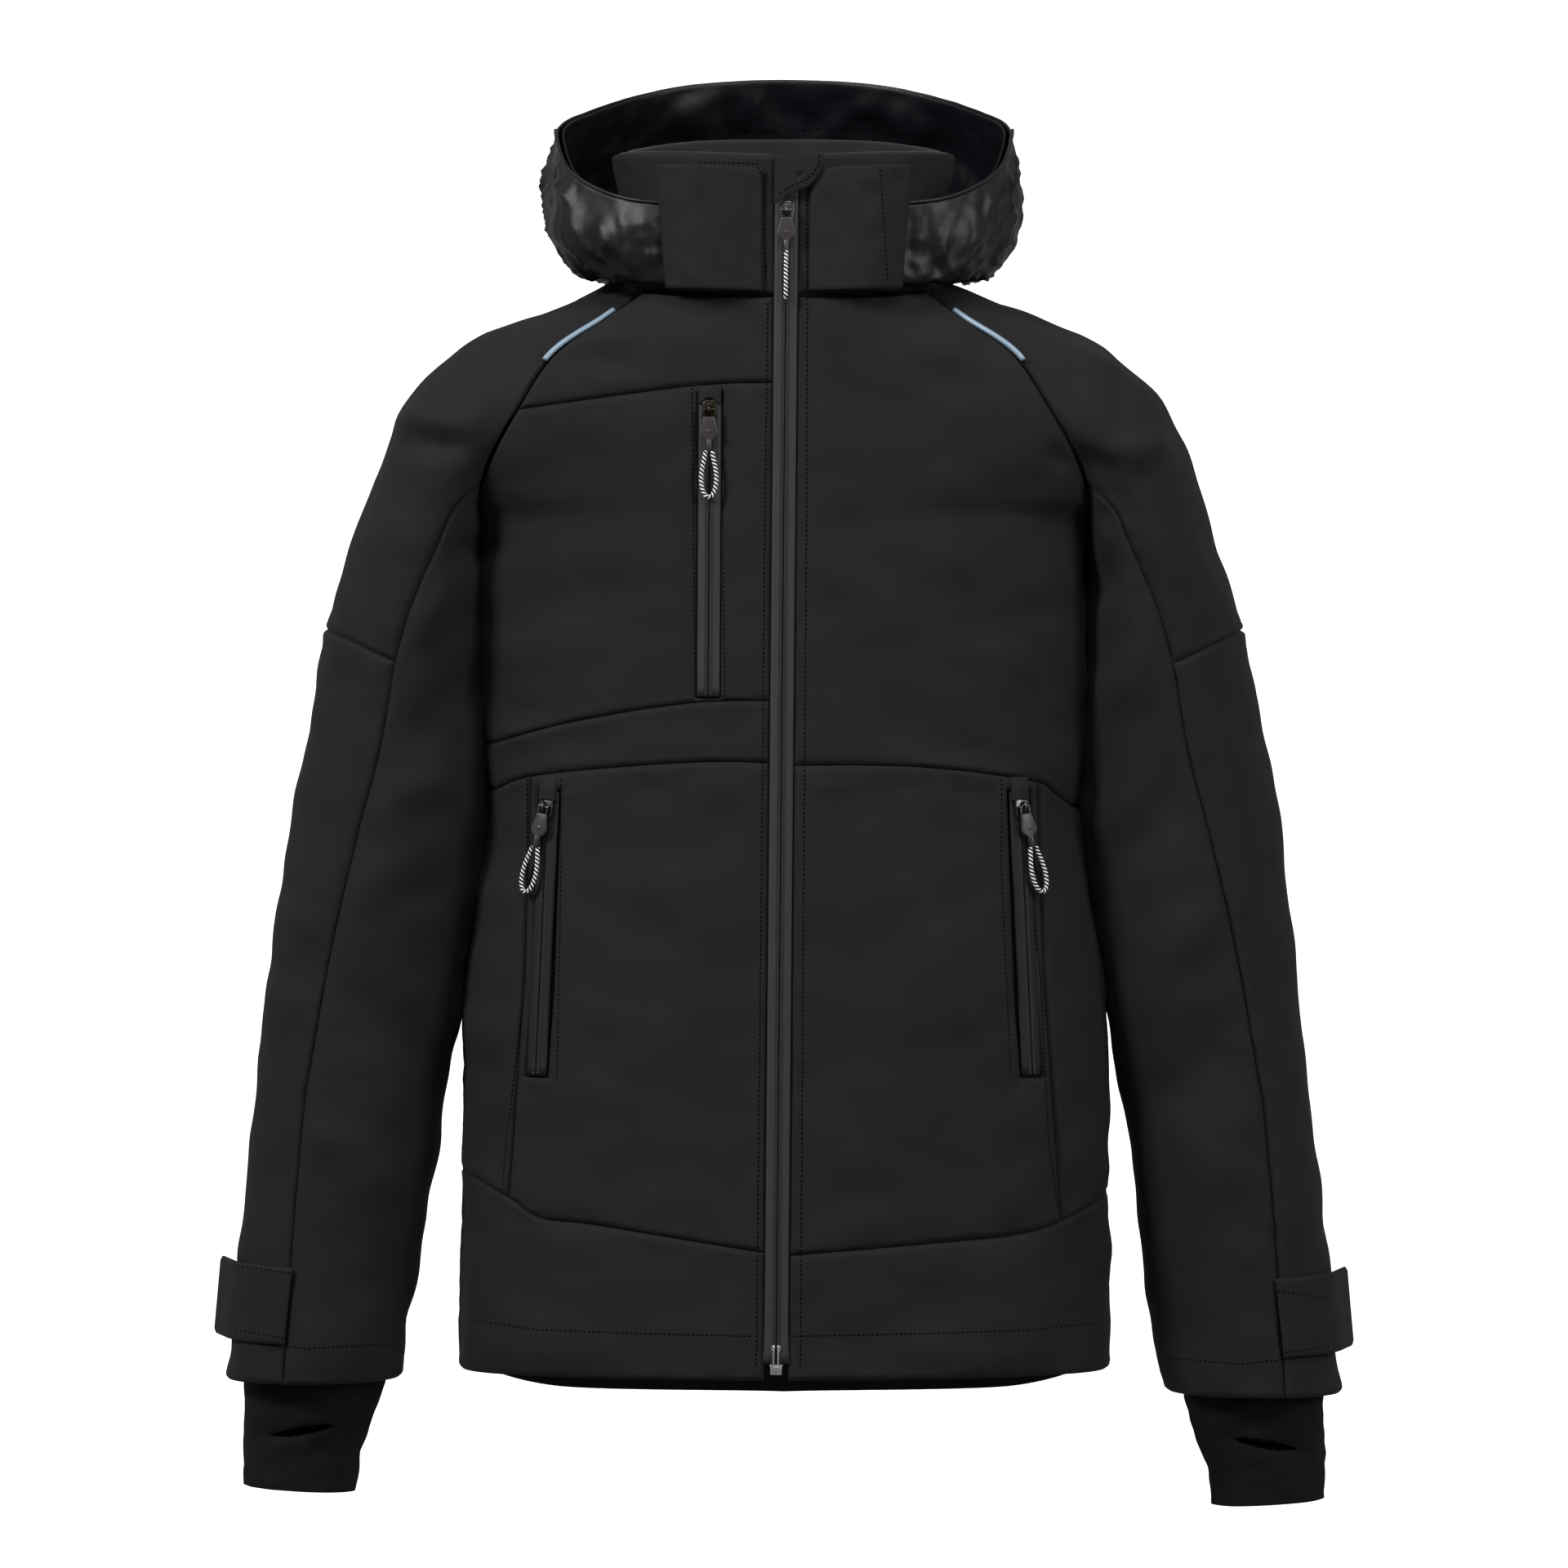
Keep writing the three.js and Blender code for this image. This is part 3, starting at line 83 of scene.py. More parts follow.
FRONT_HEM_Z = -722.0
SHELL = 5.0
LINING_INSET = 13.0
LINING = 2.0
BAG_INSET = 7.6
BAG = 1.8
ARMPIT_Z = -168.0
ZIP_EDGE = 7.7
SEAM = 0.12                      # half the gap that shows between two panels
SIDE_SEAM_Q = 0.9994
ARM_Y = 4.0
CUFF_Z = -731.0
LEFT_SLEEVE_DROP = 9.0
ELBOW_RING = 6
LAST_RING = 13
COLLAR_SHELL = 3.6
COLLAR_LINING = 3.4
COLLAR_BASE_LIFT = 2.8
FLAP = 2.6
FLAP_CLEARANCE = 13.4
HOOD_SHELL = 2.2
HINGE_Y = -5.25
PULL_LENGTH = 26.0
CORD_DIAMETER = 2.8
CORD_LOOP = 31.0
SLIDER_DROP = 10.0
FRONT_ZIP_TOP_Z = 34.0
FRONT_ZIP_BOTTOM_Z = -711.0
CAMERA = Vector((0.0, -4.172, -0.343))
FRONT_PLANE_Y = -0.172
FRAME_WIDTH = 0.9984             # what the camera takes in, at the front plane

BODY_WIDTH = [(-750, 212), (-703, 213), (-600, 210.5), (-471, 209), (-410, 199), (-356, 192), (-295, 198),
              (-168, 198)]
BACK_DEPTH = [(-750, 104), (-600, 102), (-420, 98), (-250, 118), (-130, 118), (-60, 108), (9, 80)]
FULLNESS = [(-300, 0.74), (-168, 0.48), (-130, 0.75), (-31, 1.0)]
FRONT_RAGLAN = [(97, 8, -10), (93, -38, -24), (115, -60, -42), (150, -80, -68), (172, -88, -104),
                (190, -76, -135), (198, -40, -160), (199, 0, -168)]
BACK_RAGLAN = [(97, 8, -10), (92, 46, -2), (112, 82, -22), (140, 102, -55), (168, 102, -95),
               (188, 84, -130), (198, 42, -160), (199, 0, -168)]

# Seams across the body: heights by distance from the centre line.
SEAM_LINES = {
    "yoke": [(0, -86), (58, -88), (171, -103), (190, -106)],
    "band": [(0, -290), (58, -291), (136, -303), (188, -316)],
    "waist_right": [(0, -330), (58, -329), (157, -337), (188, -346)],
    "waist_left": [(0, -331), (88, -332), (161, -341), (176, -349), (188, -357)],
    "hem_right": [(0, -643), (117, -625), (156, -621), (177, -609), (213, -592)],
    "hem_left": [(0, -643), (91, -636), (157, -630), (193, -618), (213, -607)],
    "hem_back": [(0, -655), (120, -640), (213, -600)],
    "yoke_back": [(0, -150), (120, -140), (200, -126)],
    "front_edge": [(0, -722), (150, -722), (213, -723)],
    "back_edge": [(0, -750), (150, -744.4), (213, -723)],
    "front_neck": [(0, -31), (50, -30), (93, -24.5)],
    "back_neck": [(0, 9), (60, 6), (92, -2)],
}
POCKET_SEAM = [(-640, 181), (-609, 178), (-471, 168), (-330, 164)]

# Rings down the left sleeve: outer x, outer z, inner x, inner z, half depth.
SLEEVE_RINGS = [
    (193, -48, 198.5, -178, 93), (220, -66, 196.6, -188, 91), (247, -92, 196.0, -202, 88),
    (270, -146, 195.8, -226, 84), (287, -194, 195.6, -255, 80), (301, -241, 195.0, -290, 76),
    (313, -306, 190.6, -340, 72), (324, -365, 193.4, -392, 69), (336, -455, 207.4, -470, 66),
    (345, -541, 223, -549, 64), (353, -600, 231, -607, 63), (359, -654, 239, -660, 61),
    (366, -731, 250, -731, 60),
]
FRONT_SLEEVE_SEAM = [(0, 136), (3, 112), (5, 93), (7, 82), (9, 69), (10, 65), (12, 70), (13, 74)]
BACK_SLEEVE_SEAM = [(0, 226), (5, 258), (9, 282), (13, 284)]

# Rings of the left gaiter: height, inner x, outer x, half depth.
GAITER_RINGS = [(-700, 258, 351, 42), (-735, 261, 353, 42), (-752, 267, 353, 39), (-781, 277, 354, 34),
                (-803, 280, 354, 31)]

COLLAR_LOW = [(-80, -60, -27.5), (-94, -38, -24), (-97, 8, -9), (-92, 46, -1.5), (-60, 70, 6), (0, 80, 9)]
COLLAR_TOP = [(-55, -78, 62), (-92, -60, 64), (-109, -30, 66), (-112, 8, 68), (-102, 50, 76), (-62, 80, 84),
              (0, 88, 86)]

# Lines round the left half of the hood, from its front end to the centre back.
HOOD_LINES = [
    [(66, -79, -24), (90, -66, -21), (100, -46, -17), (103, -28, -12), (104, 8, -3),
     (102, 34, 3), (92, 60, 8), (70, 78, 12), (40, 88, 15), (0, 92, 16)],
    [(67, -80, -20), (95, -70, -20), (113, -54, -19), (128, -30, -15), (136, 6, -8),
     (134, 44, -6), (118, 92, -8), (90, 126, -9), (50, 148, -9), (0, 155, -9)],
    [(68, -82, 4), (102, -77, 6), (127, -60, 10), (146, -34, 18), (155, 4, 36),
     (156, 34, 44), (146, 88, 52), (112, 138, 57), (60, 170, 60), (0, 180, 61)],
    [(68, -82, 28), (100, -76, 32), (122, -58, 41), (139, -38, 54), (148, -8, 75),
     (149, 24, 90), (132, 72, 105), (98, 116, 121), (60, 142, 131), (0, 152, 135)],
]

FOLD_STRENGTH = 2.3
# Soft folds seen from the front: x0, z0, x1, z1, height (negative for a valley), half width.
FOLDS = [
    (-245, -119, -208, -126, -3.2, 8), (-249, -110, -204, -114, 3.0, 10), (-211, -196, -190, -188, -3.0, 8),
    (-262, -262, -205, -208, 2.2, 13), (-232, -306, -196, -272, -2.0, 12), (-300, -282, -250, -262, -1.2, 12),
    (-258, -356, -212, -330, 1.8, 16), (-300, -430, -232, -382, 1.6, 18), (-292, -470, -236, -520, -1.8, 18),
    (-312, -560, -250, -600, 1.4, 18), (-286, -620, -262, -660, -1.2, 14),
    (176, -133, 212, -139, -2.6, 7), (212, -130, 246, -127, 3.2, 11), (206, -150, 222, -182, -3.0, 10),
    (196, -232, 214, -196, -2.4, 9), (210, -300, 238, -238, 1.8, 14), (214, -392, 262, -340, -1.8, 16),
    (236, -470, 300, -404, 1.8, 18), (232, -560, 292, -500, -2.0, 18), (250, -640, 300, -560, 1.6, 18),
    (146, -268, 172, -306, -1.6, 7), (165, -252, 182, -292, -1.2, 6), (134, -256, 160, -300, 1.2, 9),
    (106, -334, 118, -354, -1.1, 7), (176, -352, 190, -378, -1.4, 8), (104, -456, 166, -562, 1.7, 15),
    (128, -470, 178, -566, -1.2, 12), (160, -520, 192, -602, 1.6, 12), (120, -570, 152, -628, 1.2, 12),
    (60, -380, 108, -500, 0.9, 26), (20, -440, 62, -600, 0.8, 30),
    (-92, -540, -106, -622, -1.0, 12), (-60, -420, -96, -560, 0.9, 26), (-178, -560, -186, -600, -1.2, 8),
    (-150, -420, -130, -560, 0.9, 20), (-196, -620, -190, -700, 0.9, 12), (188, -610, 200, -690, -1.0, 10),
    (-142, -50, -96, -56, 1.3, 8), (-150, -64, -90, -78, -1.2, 8), (-130, -82, -84, -92, 0.8, 8),
    (120, -58, 150, -66, -1.2, 7), (90, -62, 140, -76, 1.0, 10), (-104, -36, -66, -48, -1.3, 5),
]

# ---- curves ---------------------------------------------------------------------


def spline(points, t):
    """Centripetal curve through points (n, 3), or through a set of curves (n, k, 3), at t from 0 to 1."""
    p = np.asarray(points, float)
    t = np.clip(np.asarray(t, float), 0, 1)
    n = len(p)
    ends = np.concatenate([[2 * p[0] - p[1]], p, [2 * p[-1] - p[-2]]])
    i = np.clip(np.floor(t * (n - 1)).astype(int), 0, n - 2)
    w = (t * (n - 1) - i)[..., None]
    pick = (lambda k: ends[i + k]) if p.ndim == 2 else (lambda k: ends[i + k, np.arange(p.shape[1])])
    p0, p1, p2, p3 = pick(0), pick(1), pick(2), pick(3)
    d1 = np.linalg.norm(p2 - p1, axis=-1, keepdims=True) ** 0.5
    d0 = np.linalg.norm(p1 - p0, axis=-1, keepdims=True) ** 0.5
    d2 = np.linalg.norm(p3 - p2, axis=-1, keepdims=True) ** 0.5
    t1 = ((p1 - p0) / d0 - (p2 - p0) / (d0 + d1) + (p2 - p1) / d1) * d1
    t2 = ((p2 - p1) / d1 - (p3 - p1) / (d1 + d2) + (p3 - p2) / d2) * d1
    return p1 + t1 * w + (3 * (p2 - p1) - 2 * t1 - t2) * w**2 + (2 * (p1 - p2) + t1 + t2) * w**3


def evenly(points, share):
    """The curve's point at a share of its length."""
    fine = np.linspace(0, 1, 201)
    line = spline(points, fine)
    run = np.concatenate([[0], np.cumsum(np.linalg.norm(np.diff(line, axis=0), axis=1))])
    return spline(points, np.interp(share, run / run[-1], fine))


def smooth_line(pairs):
    """A smooth height line through (distance, height) pairs."""
    p = np.asarray(pairs, float)
    ends = np.concatenate([p[:1], p, p[-1:]])
    t = np.linspace(0, len(p) - 1, 49)
    i = np.clip(t.astype(int), 0, len(p) - 2)
    w = (t - i)[:, None]
    p0, p1, p2, p3 = ends[i], ends[i + 1], ends[i + 2], ends[i + 3]
    v0, v1 = (p2 - p0) / 2, (p3 - p1) / 2
    out = (2 * p1 - 2 * p2 + v0 + v1) * w**3 + (-3 * p1 + 3 * p2 - 2 * v0 - v1) * w**2 + v0 * w + p1
    return lambda x, by=0.0: np.interp(np.abs(x), out[:, 0], out[:, 1]) + by


def along(pairs, x):
    return np.interp(x, [p[0] for p in pairs], [p[1] for p in pairs])


def mirrored(points):
    return [(-x, y, z) for x, y, z in points[-2::-1]]


LINE = {name: smooth_line(pairs) for name, pairs in SEAM_LINES.items()}
RAGLAN = {FRONT: FRONT_RAGLAN, BACK: BACK_RAGLAN}
RAGLAN_SAMPLES = {face: evenly(RAGLAN[face], np.linspace(1, 0, 61)) for face in RAGLAN}

# ---- surfaces of the jacket -----------------------------------------------------


def front_depth(z):
    return 121 - 0.05 * (z - FRONT_HEM_Z)


def zip_x(z):
    return -5.2 + 6.8 * (z - FRONT_HEM_Z) / 746


def edge_at(face, z):
    samples = RAGLAN_SAMPLES[face]
    high = z >= ARMPIT_Z
    width = np.where(high, np.interp(z, samples[:, 2], samples[:, 0]), along(BODY_WIDTH, z))
    depth = np.where(high, np.maximum(0, np.interp(z, samples[:, 2], samples[:, 1] * face)), 0)
    return width, depth


def body_point(face, q, z, inset=0.0):
    """A point of the body's outer face. q runs from -1 to 1, side to side."""
    width, edge_depth = edge_at(face, z)
    angle = q * np.pi / 2
    side = np.maximum(0, edge_depth - inset * np.minimum(1, edge_depth / 20))
    depth = front_depth(z) if face == FRONT else along(BACK_DEPTH, z)
    bulge = depth - inset - side
    y = face * (side + bulge * np.maximum(0, np.cos(angle)) ** along(FULLNESS, z))
    return np.stack(np.broadcast_arrays((width - inset) * np.sin(angle), y, z), axis=-1)


def q_at(face, x, z):
    return np.arcsin(np.clip(x / edge_at(face, z)[0], -1, 1)) / (np.pi / 2)


def beside_zip(side, more=0.0):
    return lambda z: q_at(FRONT, zip_x(z) + side * (ZIP_EDGE + more), z)


def at_side(face, side):
    def edge(z):
        width = edge_at(face, z)[0] - np.interp(z, [ARMPIT_Z, -135], [0.0, 1.2])
        return side * np.minimum(SIDE_SEAM_Q, q_at(face, width, z))
    return edge


def pocket_seam(side):
    return lambda z: side * along(POCKET_SEAM, z)


def ring_point(ring, phi, inset):
    turn = np.mod(phi, 360)
    front = turn <= 180
    share = np.where(front, turn / 180, (360 - turn) / 180)
    if ring == 0:
        point = np.where(front[..., None], evenly(FRONT_RAGLAN, share), evenly(BACK_RAGLAN, share))
        inward = np.array((150, 4, -90)) - point
        return point + inward / np.linalg.norm(inward, axis=-1, keepdims=True) * inset
    ox, oz, ix, iz, depth = SLEEVE_RINGS[ring - 1]
    angle = np.radians(turn)
    half_x, half_z = (ox - ix) / 2, (oz - iz) / 2
    size = math.hypot(half_x, half_z)
    reach = np.cos(angle) * (size - inset) / size
    y = ARM_Y - np.sin(angle) * (depth - inset)
    return np.stack([(ox + ix) / 2 + half_x * reach, y, (oz + iz) / 2 + half_z * reach], axis=-1)


def sleeve_point(side, phi, s, inset=0.0):
    """A point on a sleeve: s counts rings from the armhole, phi turns from the outside to the front."""
    phi, s = np.broadcast_arrays(np.asarray(phi, float), np.asarray(s, float))
    rings = np.stack([ring_point(k, phi, inset) for k in range(LAST_RING + 1)])
    k = np.clip(np.floor(s).astype(int), 0, LAST_RING - 1)
    w = (s - k)[..., None]
    grab = lambda j: np.take_along_axis(rings, np.clip(j, 0, LAST_RING)[None, ..., None], axis=0)[0]
    before, low, high, after = grab(k - 1), grab(k), grab(k + 1), grab(k + 2)
    straight = low + (high - low) * w
    curved = low + 0.5 * w * (high - before + w * (2 * before - 5 * low + 4 * high - after
                              + w * (3 * (low - high) + after - before)))
    blend = np.where((k == 0) | (k >= LAST_RING - 1), 0.0, 1.0)[..., None]
    point = straight + (curved - straight) * blend
    if side > 0:
        point[..., 2] -= LEFT_SLEEVE_DROP * np.clip(point[..., 2] / CUFF_Z, 0, 1.1) ** 2
    point[..., 0] *= side
    return point


def collar_curve(half, z):
    start = (zip_x(z) - ZIP_EDGE, -front_depth(z), z)
    other = mirrored([start] + half)
    other[-1] = (other[-1][0] + 2 * zip_x(z), other[-1][1], other[-1][2])
    return [start] + half + other


COLLAR_LOWER = collar_curve([(-50, -79.5, -30)] + COLLAR_LOW, -31.0)
COLLAR_UPPER = collar_curve(COLLAR_TOP, 60.0)


def collar_point(share, up, inset=0.0):
    """A point of the collar's outer face; share runs round it from the right front to the left."""
    share, up = np.broadcast_arrays(np.asarray(share, float), np.asarray(up, float))

    def at(w):
        low, high = spline(COLLAR_LOWER, w), spline(COLLAR_UPPER, w)
        return low + (high - low) * up[..., None]

    tangent = at(share + 0.004) - at(share - 0.004)
    outward = np.stack([-tangent[..., 1], tangent[..., 0], np.zeros_like(share)], axis=-1)
    outward /= np.linalg.norm(outward, axis=-1, keepdims=True)
    point = at(share) - outward * np.asarray(inset)[..., None]
    point[..., 2] += COLLAR_BASE_LIFT * (1 - up)
    return point


def hood_point(round_, up):
    shape = np.broadcast(round_, up).shape
    r = np.broadcast_to(round_, shape).ravel()
    u = np.broadcast_to(up, shape).ravel()
    lines = np.stack([spline(half + mirrored(half), r) for half in HOOD_LINES])
    return spline(lines, u).reshape(shape + (3,))


# ---- cloth pieces ---------------------------------------------------------------

PIECES = {}
LOOK = "_look"                   # ends the name of a piece that stands for a CAD node of that name
EDGE_STEPS = np.array([0.0, 0.5, 1.2, 2.2, 3.6, 5.6, 8.4])


def spaced(length, pitch):
    """Steps from 0 to 1 over a length, closer together at both ends so that the edge can be rounded."""
    if length < 3 * EDGE_STEPS[-1]:
        steps = np.linspace(0, length, max(5, int(length / pitch) + 1))
        return steps / length
    inner_steps = max(2, int((length - 2 * EDGE_STEPS[-1]) / pitch) + 1)
    middle = np.linspace(EDGE_STEPS[-1], length - EDGE_STEPS[-1], inner_steps)
    return np.concatenate([EDGE_STEPS[:-1], middle, length - EDGE_STEPS[-2::-1]]) / length


def normals_of(grid, wrap=False):
    if wrap:
        across = np.roll(grid, -1, 1) - np.roll(grid, 1, 1)
    else:
        across = np.gradient(grid, axis=1)
    upward = np.gradient(grid, axis=0)
    n = np.cross(across, upward)
    return n / np.maximum(np.linalg.norm(n, axis=-1, keepdims=True), 1e-9)


def to_scene(points):
    out = np.array(points, float)
    out[..., 1] -= LOOP_Y
    return out * MM


def mesh_object(name, points, faces, finish, smooth=True, uv=None):
    """An object from points in metres and faces, turned to face outwards."""
    mesh = bpy.data.meshes.new(name + LOOK)
    mesh.from_pydata([tuple(p) for p in points], [], [tuple(int(i) for i in f) for f in faces])
    if uv is not None:
        layer = mesh.uv_layers.new(name="UVMap")
        loops = np.zeros(len(mesh.loops), np.int32)
        mesh.loops.foreach_get("vertex_index", loops)
        layer.data.foreach_set("uv", np.asarray(uv, np.float32)[loops].ravel())
    mesh.validate()
    mesh.update()
    if volume(mesh) < 0:
        mesh.flip_normals()
    if smooth:
        mesh.shade_smooth()
    obj = bpy.data.objects.new(name + LOOK, mesh)
    bpy.context.scene.collection.objects.link(obj)
    obj.data.materials.append(MATERIALS[finish])
    PIECES[name] = obj
    return obj


def node_of(obj):
    """The CAD node that a piece is named after."""
    return obj.name.removesuffix(LOOK)


def volume(mesh):
    mesh.calc_loop_triangles()
    tri = np.zeros(len(mesh.loop_triangles) * 3, np.int32)
    mesh.loop_triangles.foreach_get("vertices", tri)
    co = np.zeros(len(mesh.vertices) * 3, np.float64)
    mesh.vertices.foreach_get("co", co)
    a, b, c = co.reshape(-1, 3)[tri.reshape(-1, 3)].transpose(1, 0, 2)
    return float(np.einsum("ij,ij->i", a, np.cross(b, c)).sum())


def slab(name, outer, inner, finish, keep=None, wrap=False, uv=None):
    """A closed piece of cloth between two grids of points. keep marks the quads that are cloth."""
    rows, cols = outer.shape[:2]
    spans = cols if wrap else cols - 1
    j, i = np.meshgrid(np.arange(rows - 1), np.arange(spans), indexing="ij")
    beside = (i + 1) % cols
    quads = np.stack([j * cols + i, j * cols + beside, (j + 1) * cols + beside, (j + 1) * cols + i], -1)
    quads = quads.reshape(-1, 4) if keep is None else quads[keep]
    half = rows * cols
    edges = np.concatenate([quads[:, [k, (k + 1) % 4]] for k in range(4)])
    codes = edges[:, 0].astype(np.int64) * (2 * half) + edges[:, 1]
    backward = edges[:, 1].astype(np.int64) * (2 * half) + edges[:, 0]
    rim = edges[~np.isin(codes, backward)]
    walls = np.stack([rim[:, 1], rim[:, 0], rim[:, 0] + half, rim[:, 1] + half], -1)
    faces = np.concatenate([quads, quads[:, ::-1] + half, walls])
    points = np.concatenate([outer.reshape(-1, 3), inner.reshape(-1, 3)])
    used = np.unique(faces)
    renumber = np.full(2 * half, -1)
    renumber[used] = np.arange(len(used))
    if uv is not None:
        uv = np.concatenate([uv.reshape(-1, 2)] * 2)[used]
    return mesh_object(name, to_scene(points[used]), renumber[faces], finish, uv=uv)


def ripple(points, seed, wave, octaves=3):
    """Smooth, repeatable unevenness between about -1 and 1, from sums of waves in random directions."""
    rng = np.random.default_rng(seed)
    total = np.zeros(points.shape[:-1])
    for octave in range(octaves):
        for _ in range(5):
            direction = rng.normal(size=3)
            direction *= 2 * np.pi / (wave * 0.55**octave) / np.linalg.norm(direction)
            total += np.sin(points @ direction + rng.uniform(0, 6.28)) * 0.6**octave / 3.2
    return total


def fold_height(points, normals):
    """How far the soft folds lift the cloth at each point that faces the front."""
    x, z = points[..., 0], points[..., 2]
    lift = np.zeros(x.shape)
    for x0, z0, x1, z1, height, width in FOLDS:
        dx, dz = x1 - x0, z1 - z0
        run = ((x - x0) * dx + (z - z0) * dz) / (dx * dx + dz * dz)
        on = np.clip(run, 0, 1)
        gap = np.hypot(x - x0 - on * dx, z - z0 - on * dz) / width
        lift += height * np.exp(-gap**2) * np.interp(on, [0, 0.3, 0.7, 1], [0.55, 1, 1, 0.5])
    return lift * FOLD_STRENGTH * np.clip(-normals[..., 1] * 2, 0, 1)


def edge_gap(grid, wrap=False):
    """Distance in millimetres from each point of a grid to the grid's nearest edge."""
    along_rows = np.linalg.norm(np.diff(grid, axis=0), axis=-1)
    run = np.concatenate([np.zeros((1, grid.shape[1])), np.cumsum(along_rows, axis=0)])
    gap = np.minimum(run, run[-1:] - run)
    if wrap:
        return gap
    along_cols = np.linalg.norm(np.diff(grid, axis=1), axis=-1)
    run = np.concatenate([np.zeros((grid.shape[0], 1)), np.cumsum(along_cols, axis=1)], axis=1)
    return np.minimum(gap, np.minimum(run, run[:, -1:] - run))


# ---- finishes -------------------------------------------------------------------

MATERIALS = {}


def node_group(name, inputs, outputs):
    """A shader group with the given float inputs and outputs, and its two ends."""
    group = bpy.data.node_groups.new(name, "ShaderNodeTree")
    for label, default in inputs:
        socket = group.interface.new_socket(name=label, in_out="INPUT", socket_type="NodeSocketFloat")
        socket.default_value = default
    for label, kind in outputs:
        group.interface.new_socket(name=label, in_out="OUTPUT", socket_type=kind)
    return group, group.nodes.new("NodeGroupInput"), group.nodes.new("NodeGroupOutput")


def link(tree, source, target):
    tree.links.new(source, target)


def add_node(tree, kind, **values):
    node = tree.nodes.new(kind)
    for key, value in values.items():
        if key in node.inputs:
            node.inputs[key].default_value = value
        else:
            setattr(node, key, value)
    return node


def make_weave_group():
    """Fine crossed threads with uneven yarn: a colour mask and a bumped normal."""
    outputs = (("Mask", "NodeSocketFloat"), ("Normal", "NodeSocketVector"))
    group, start, end = node_group("Woven cloth", (("Threads", 1500.0), ("Bump", 0.25)), outputs)
    coords = add_node(group, "ShaderNodeTexCoord")
    scaled = add_node(group, "ShaderNodeVectorMath", operation="SCALE")
    link(group, coords.outputs["Object"], scaled.inputs[0])
    link(group, start.outputs["Threads"], scaled.inputs["Scale"])
    across = add_node(group, "ShaderNodeTexWave", bands_direction="DIAGONAL", Scale=0.32, Distortion=1.2)
    grain = add_node(group, "ShaderNodeTexNoise", Scale=1.0, Detail=3.0, Roughness=0.7)
    patch = add_node(group, "ShaderNodeTexNoise", Scale=0.02, Detail=2.0)
    for node in (across, grain, patch):
        link(group, scaled.outputs["Vector"], node.inputs["Vector"])
    threads = add_node(group, "ShaderNodeMath", operation="MULTIPLY_ADD")
    threads.inputs[1].default_value = 0.35
    link(group, across.outputs["Fac"], threads.inputs[0])
    link(group, grain.outputs["Fac"], threads.inputs[2])
    mask = add_node(group, "ShaderNodeMath", operation="MULTIPLY_ADD")
    mask.inputs[1].default_value = 0.5
    link(group, patch.outputs["Fac"], mask.inputs[0])
    link(group, threads.outputs[0], mask.inputs[2])
    bump = add_node(group, "ShaderNodeBump", Distance=0.0002)
    link(group, threads.outputs[0], bump.inputs["Height"])
    link(group, start.outputs["Bump"], bump.inputs["Strength"])
    link(group, mask.outputs[0], end.inputs["Mask"])
    link(group, bump.outputs["Normal"], end.inputs["Normal"])
    return group


def make_crumple_group():
    """Small creases of thin nylon: a bumped normal, and a colour mask of the crease height that paints shade
    between the creases and a highlight on their ridges.
    """
    outputs = (("Mask", "NodeSocketFloat"), ("Normal", "NodeSocketVector"))
    group, start, end = node_group("Crumpled nylon", (("Size", 60.0), ("Bump", 0.5)), outputs)
    coords = add_node(group, "ShaderNodeTexCoord")
    warp = add_node(group, "ShaderNodeTexNoise", Scale=18.0, Detail=3.0)
    link(group, coords.outputs["Object"], warp.inputs["Vector"])
    moved = add_node(group, "ShaderNodeVectorMath", operation="MULTIPLY_ADD")
    moved.inputs[1].default_value = (0.05, 0.05, 0.05)
    link(group, warp.outputs["Color"], moved.inputs[0])
    link(group, coords.outputs["Object"], moved.inputs[2])
    crease = add_node(group, "ShaderNodeTexNoise", noise_type="RIDGED_MULTIFRACTAL", Detail=3.0,
                      Roughness=0.5)
    crease.normalize = True
    link(group, moved.outputs["Vector"], crease.inputs["Vector"])
    link(group, start.outputs["Size"], crease.inputs["Scale"])
    fine = add_node(group, "ShaderNodeTexNoise", Scale=2500.0, Detail=2.0)
    link(group, coords.outputs["Object"], fine.inputs["Vector"])
    both = add_node(group, "ShaderNodeMath", operation="MULTIPLY_ADD")
    both.inputs[1].default_value = 0.06
    link(group, fine.outputs["Fac"], both.inputs[0])
    link(group, crease.outputs["Fac"], both.inputs[2])
    bump = add_node(group, "ShaderNodeBump", Distance=0.005)
    link(group, both.outputs[0], bump.inputs["Height"])
    link(group, start.outputs["Bump"], bump.inputs["Strength"])
    # The crease height is also the colour mask: painted shade low, painted highlight on the ridges.
    link(group, crease.outputs["Fac"], end.inputs["Mask"])
    link(group, bump.outputs["Normal"], end.inputs["Normal"])
    return group


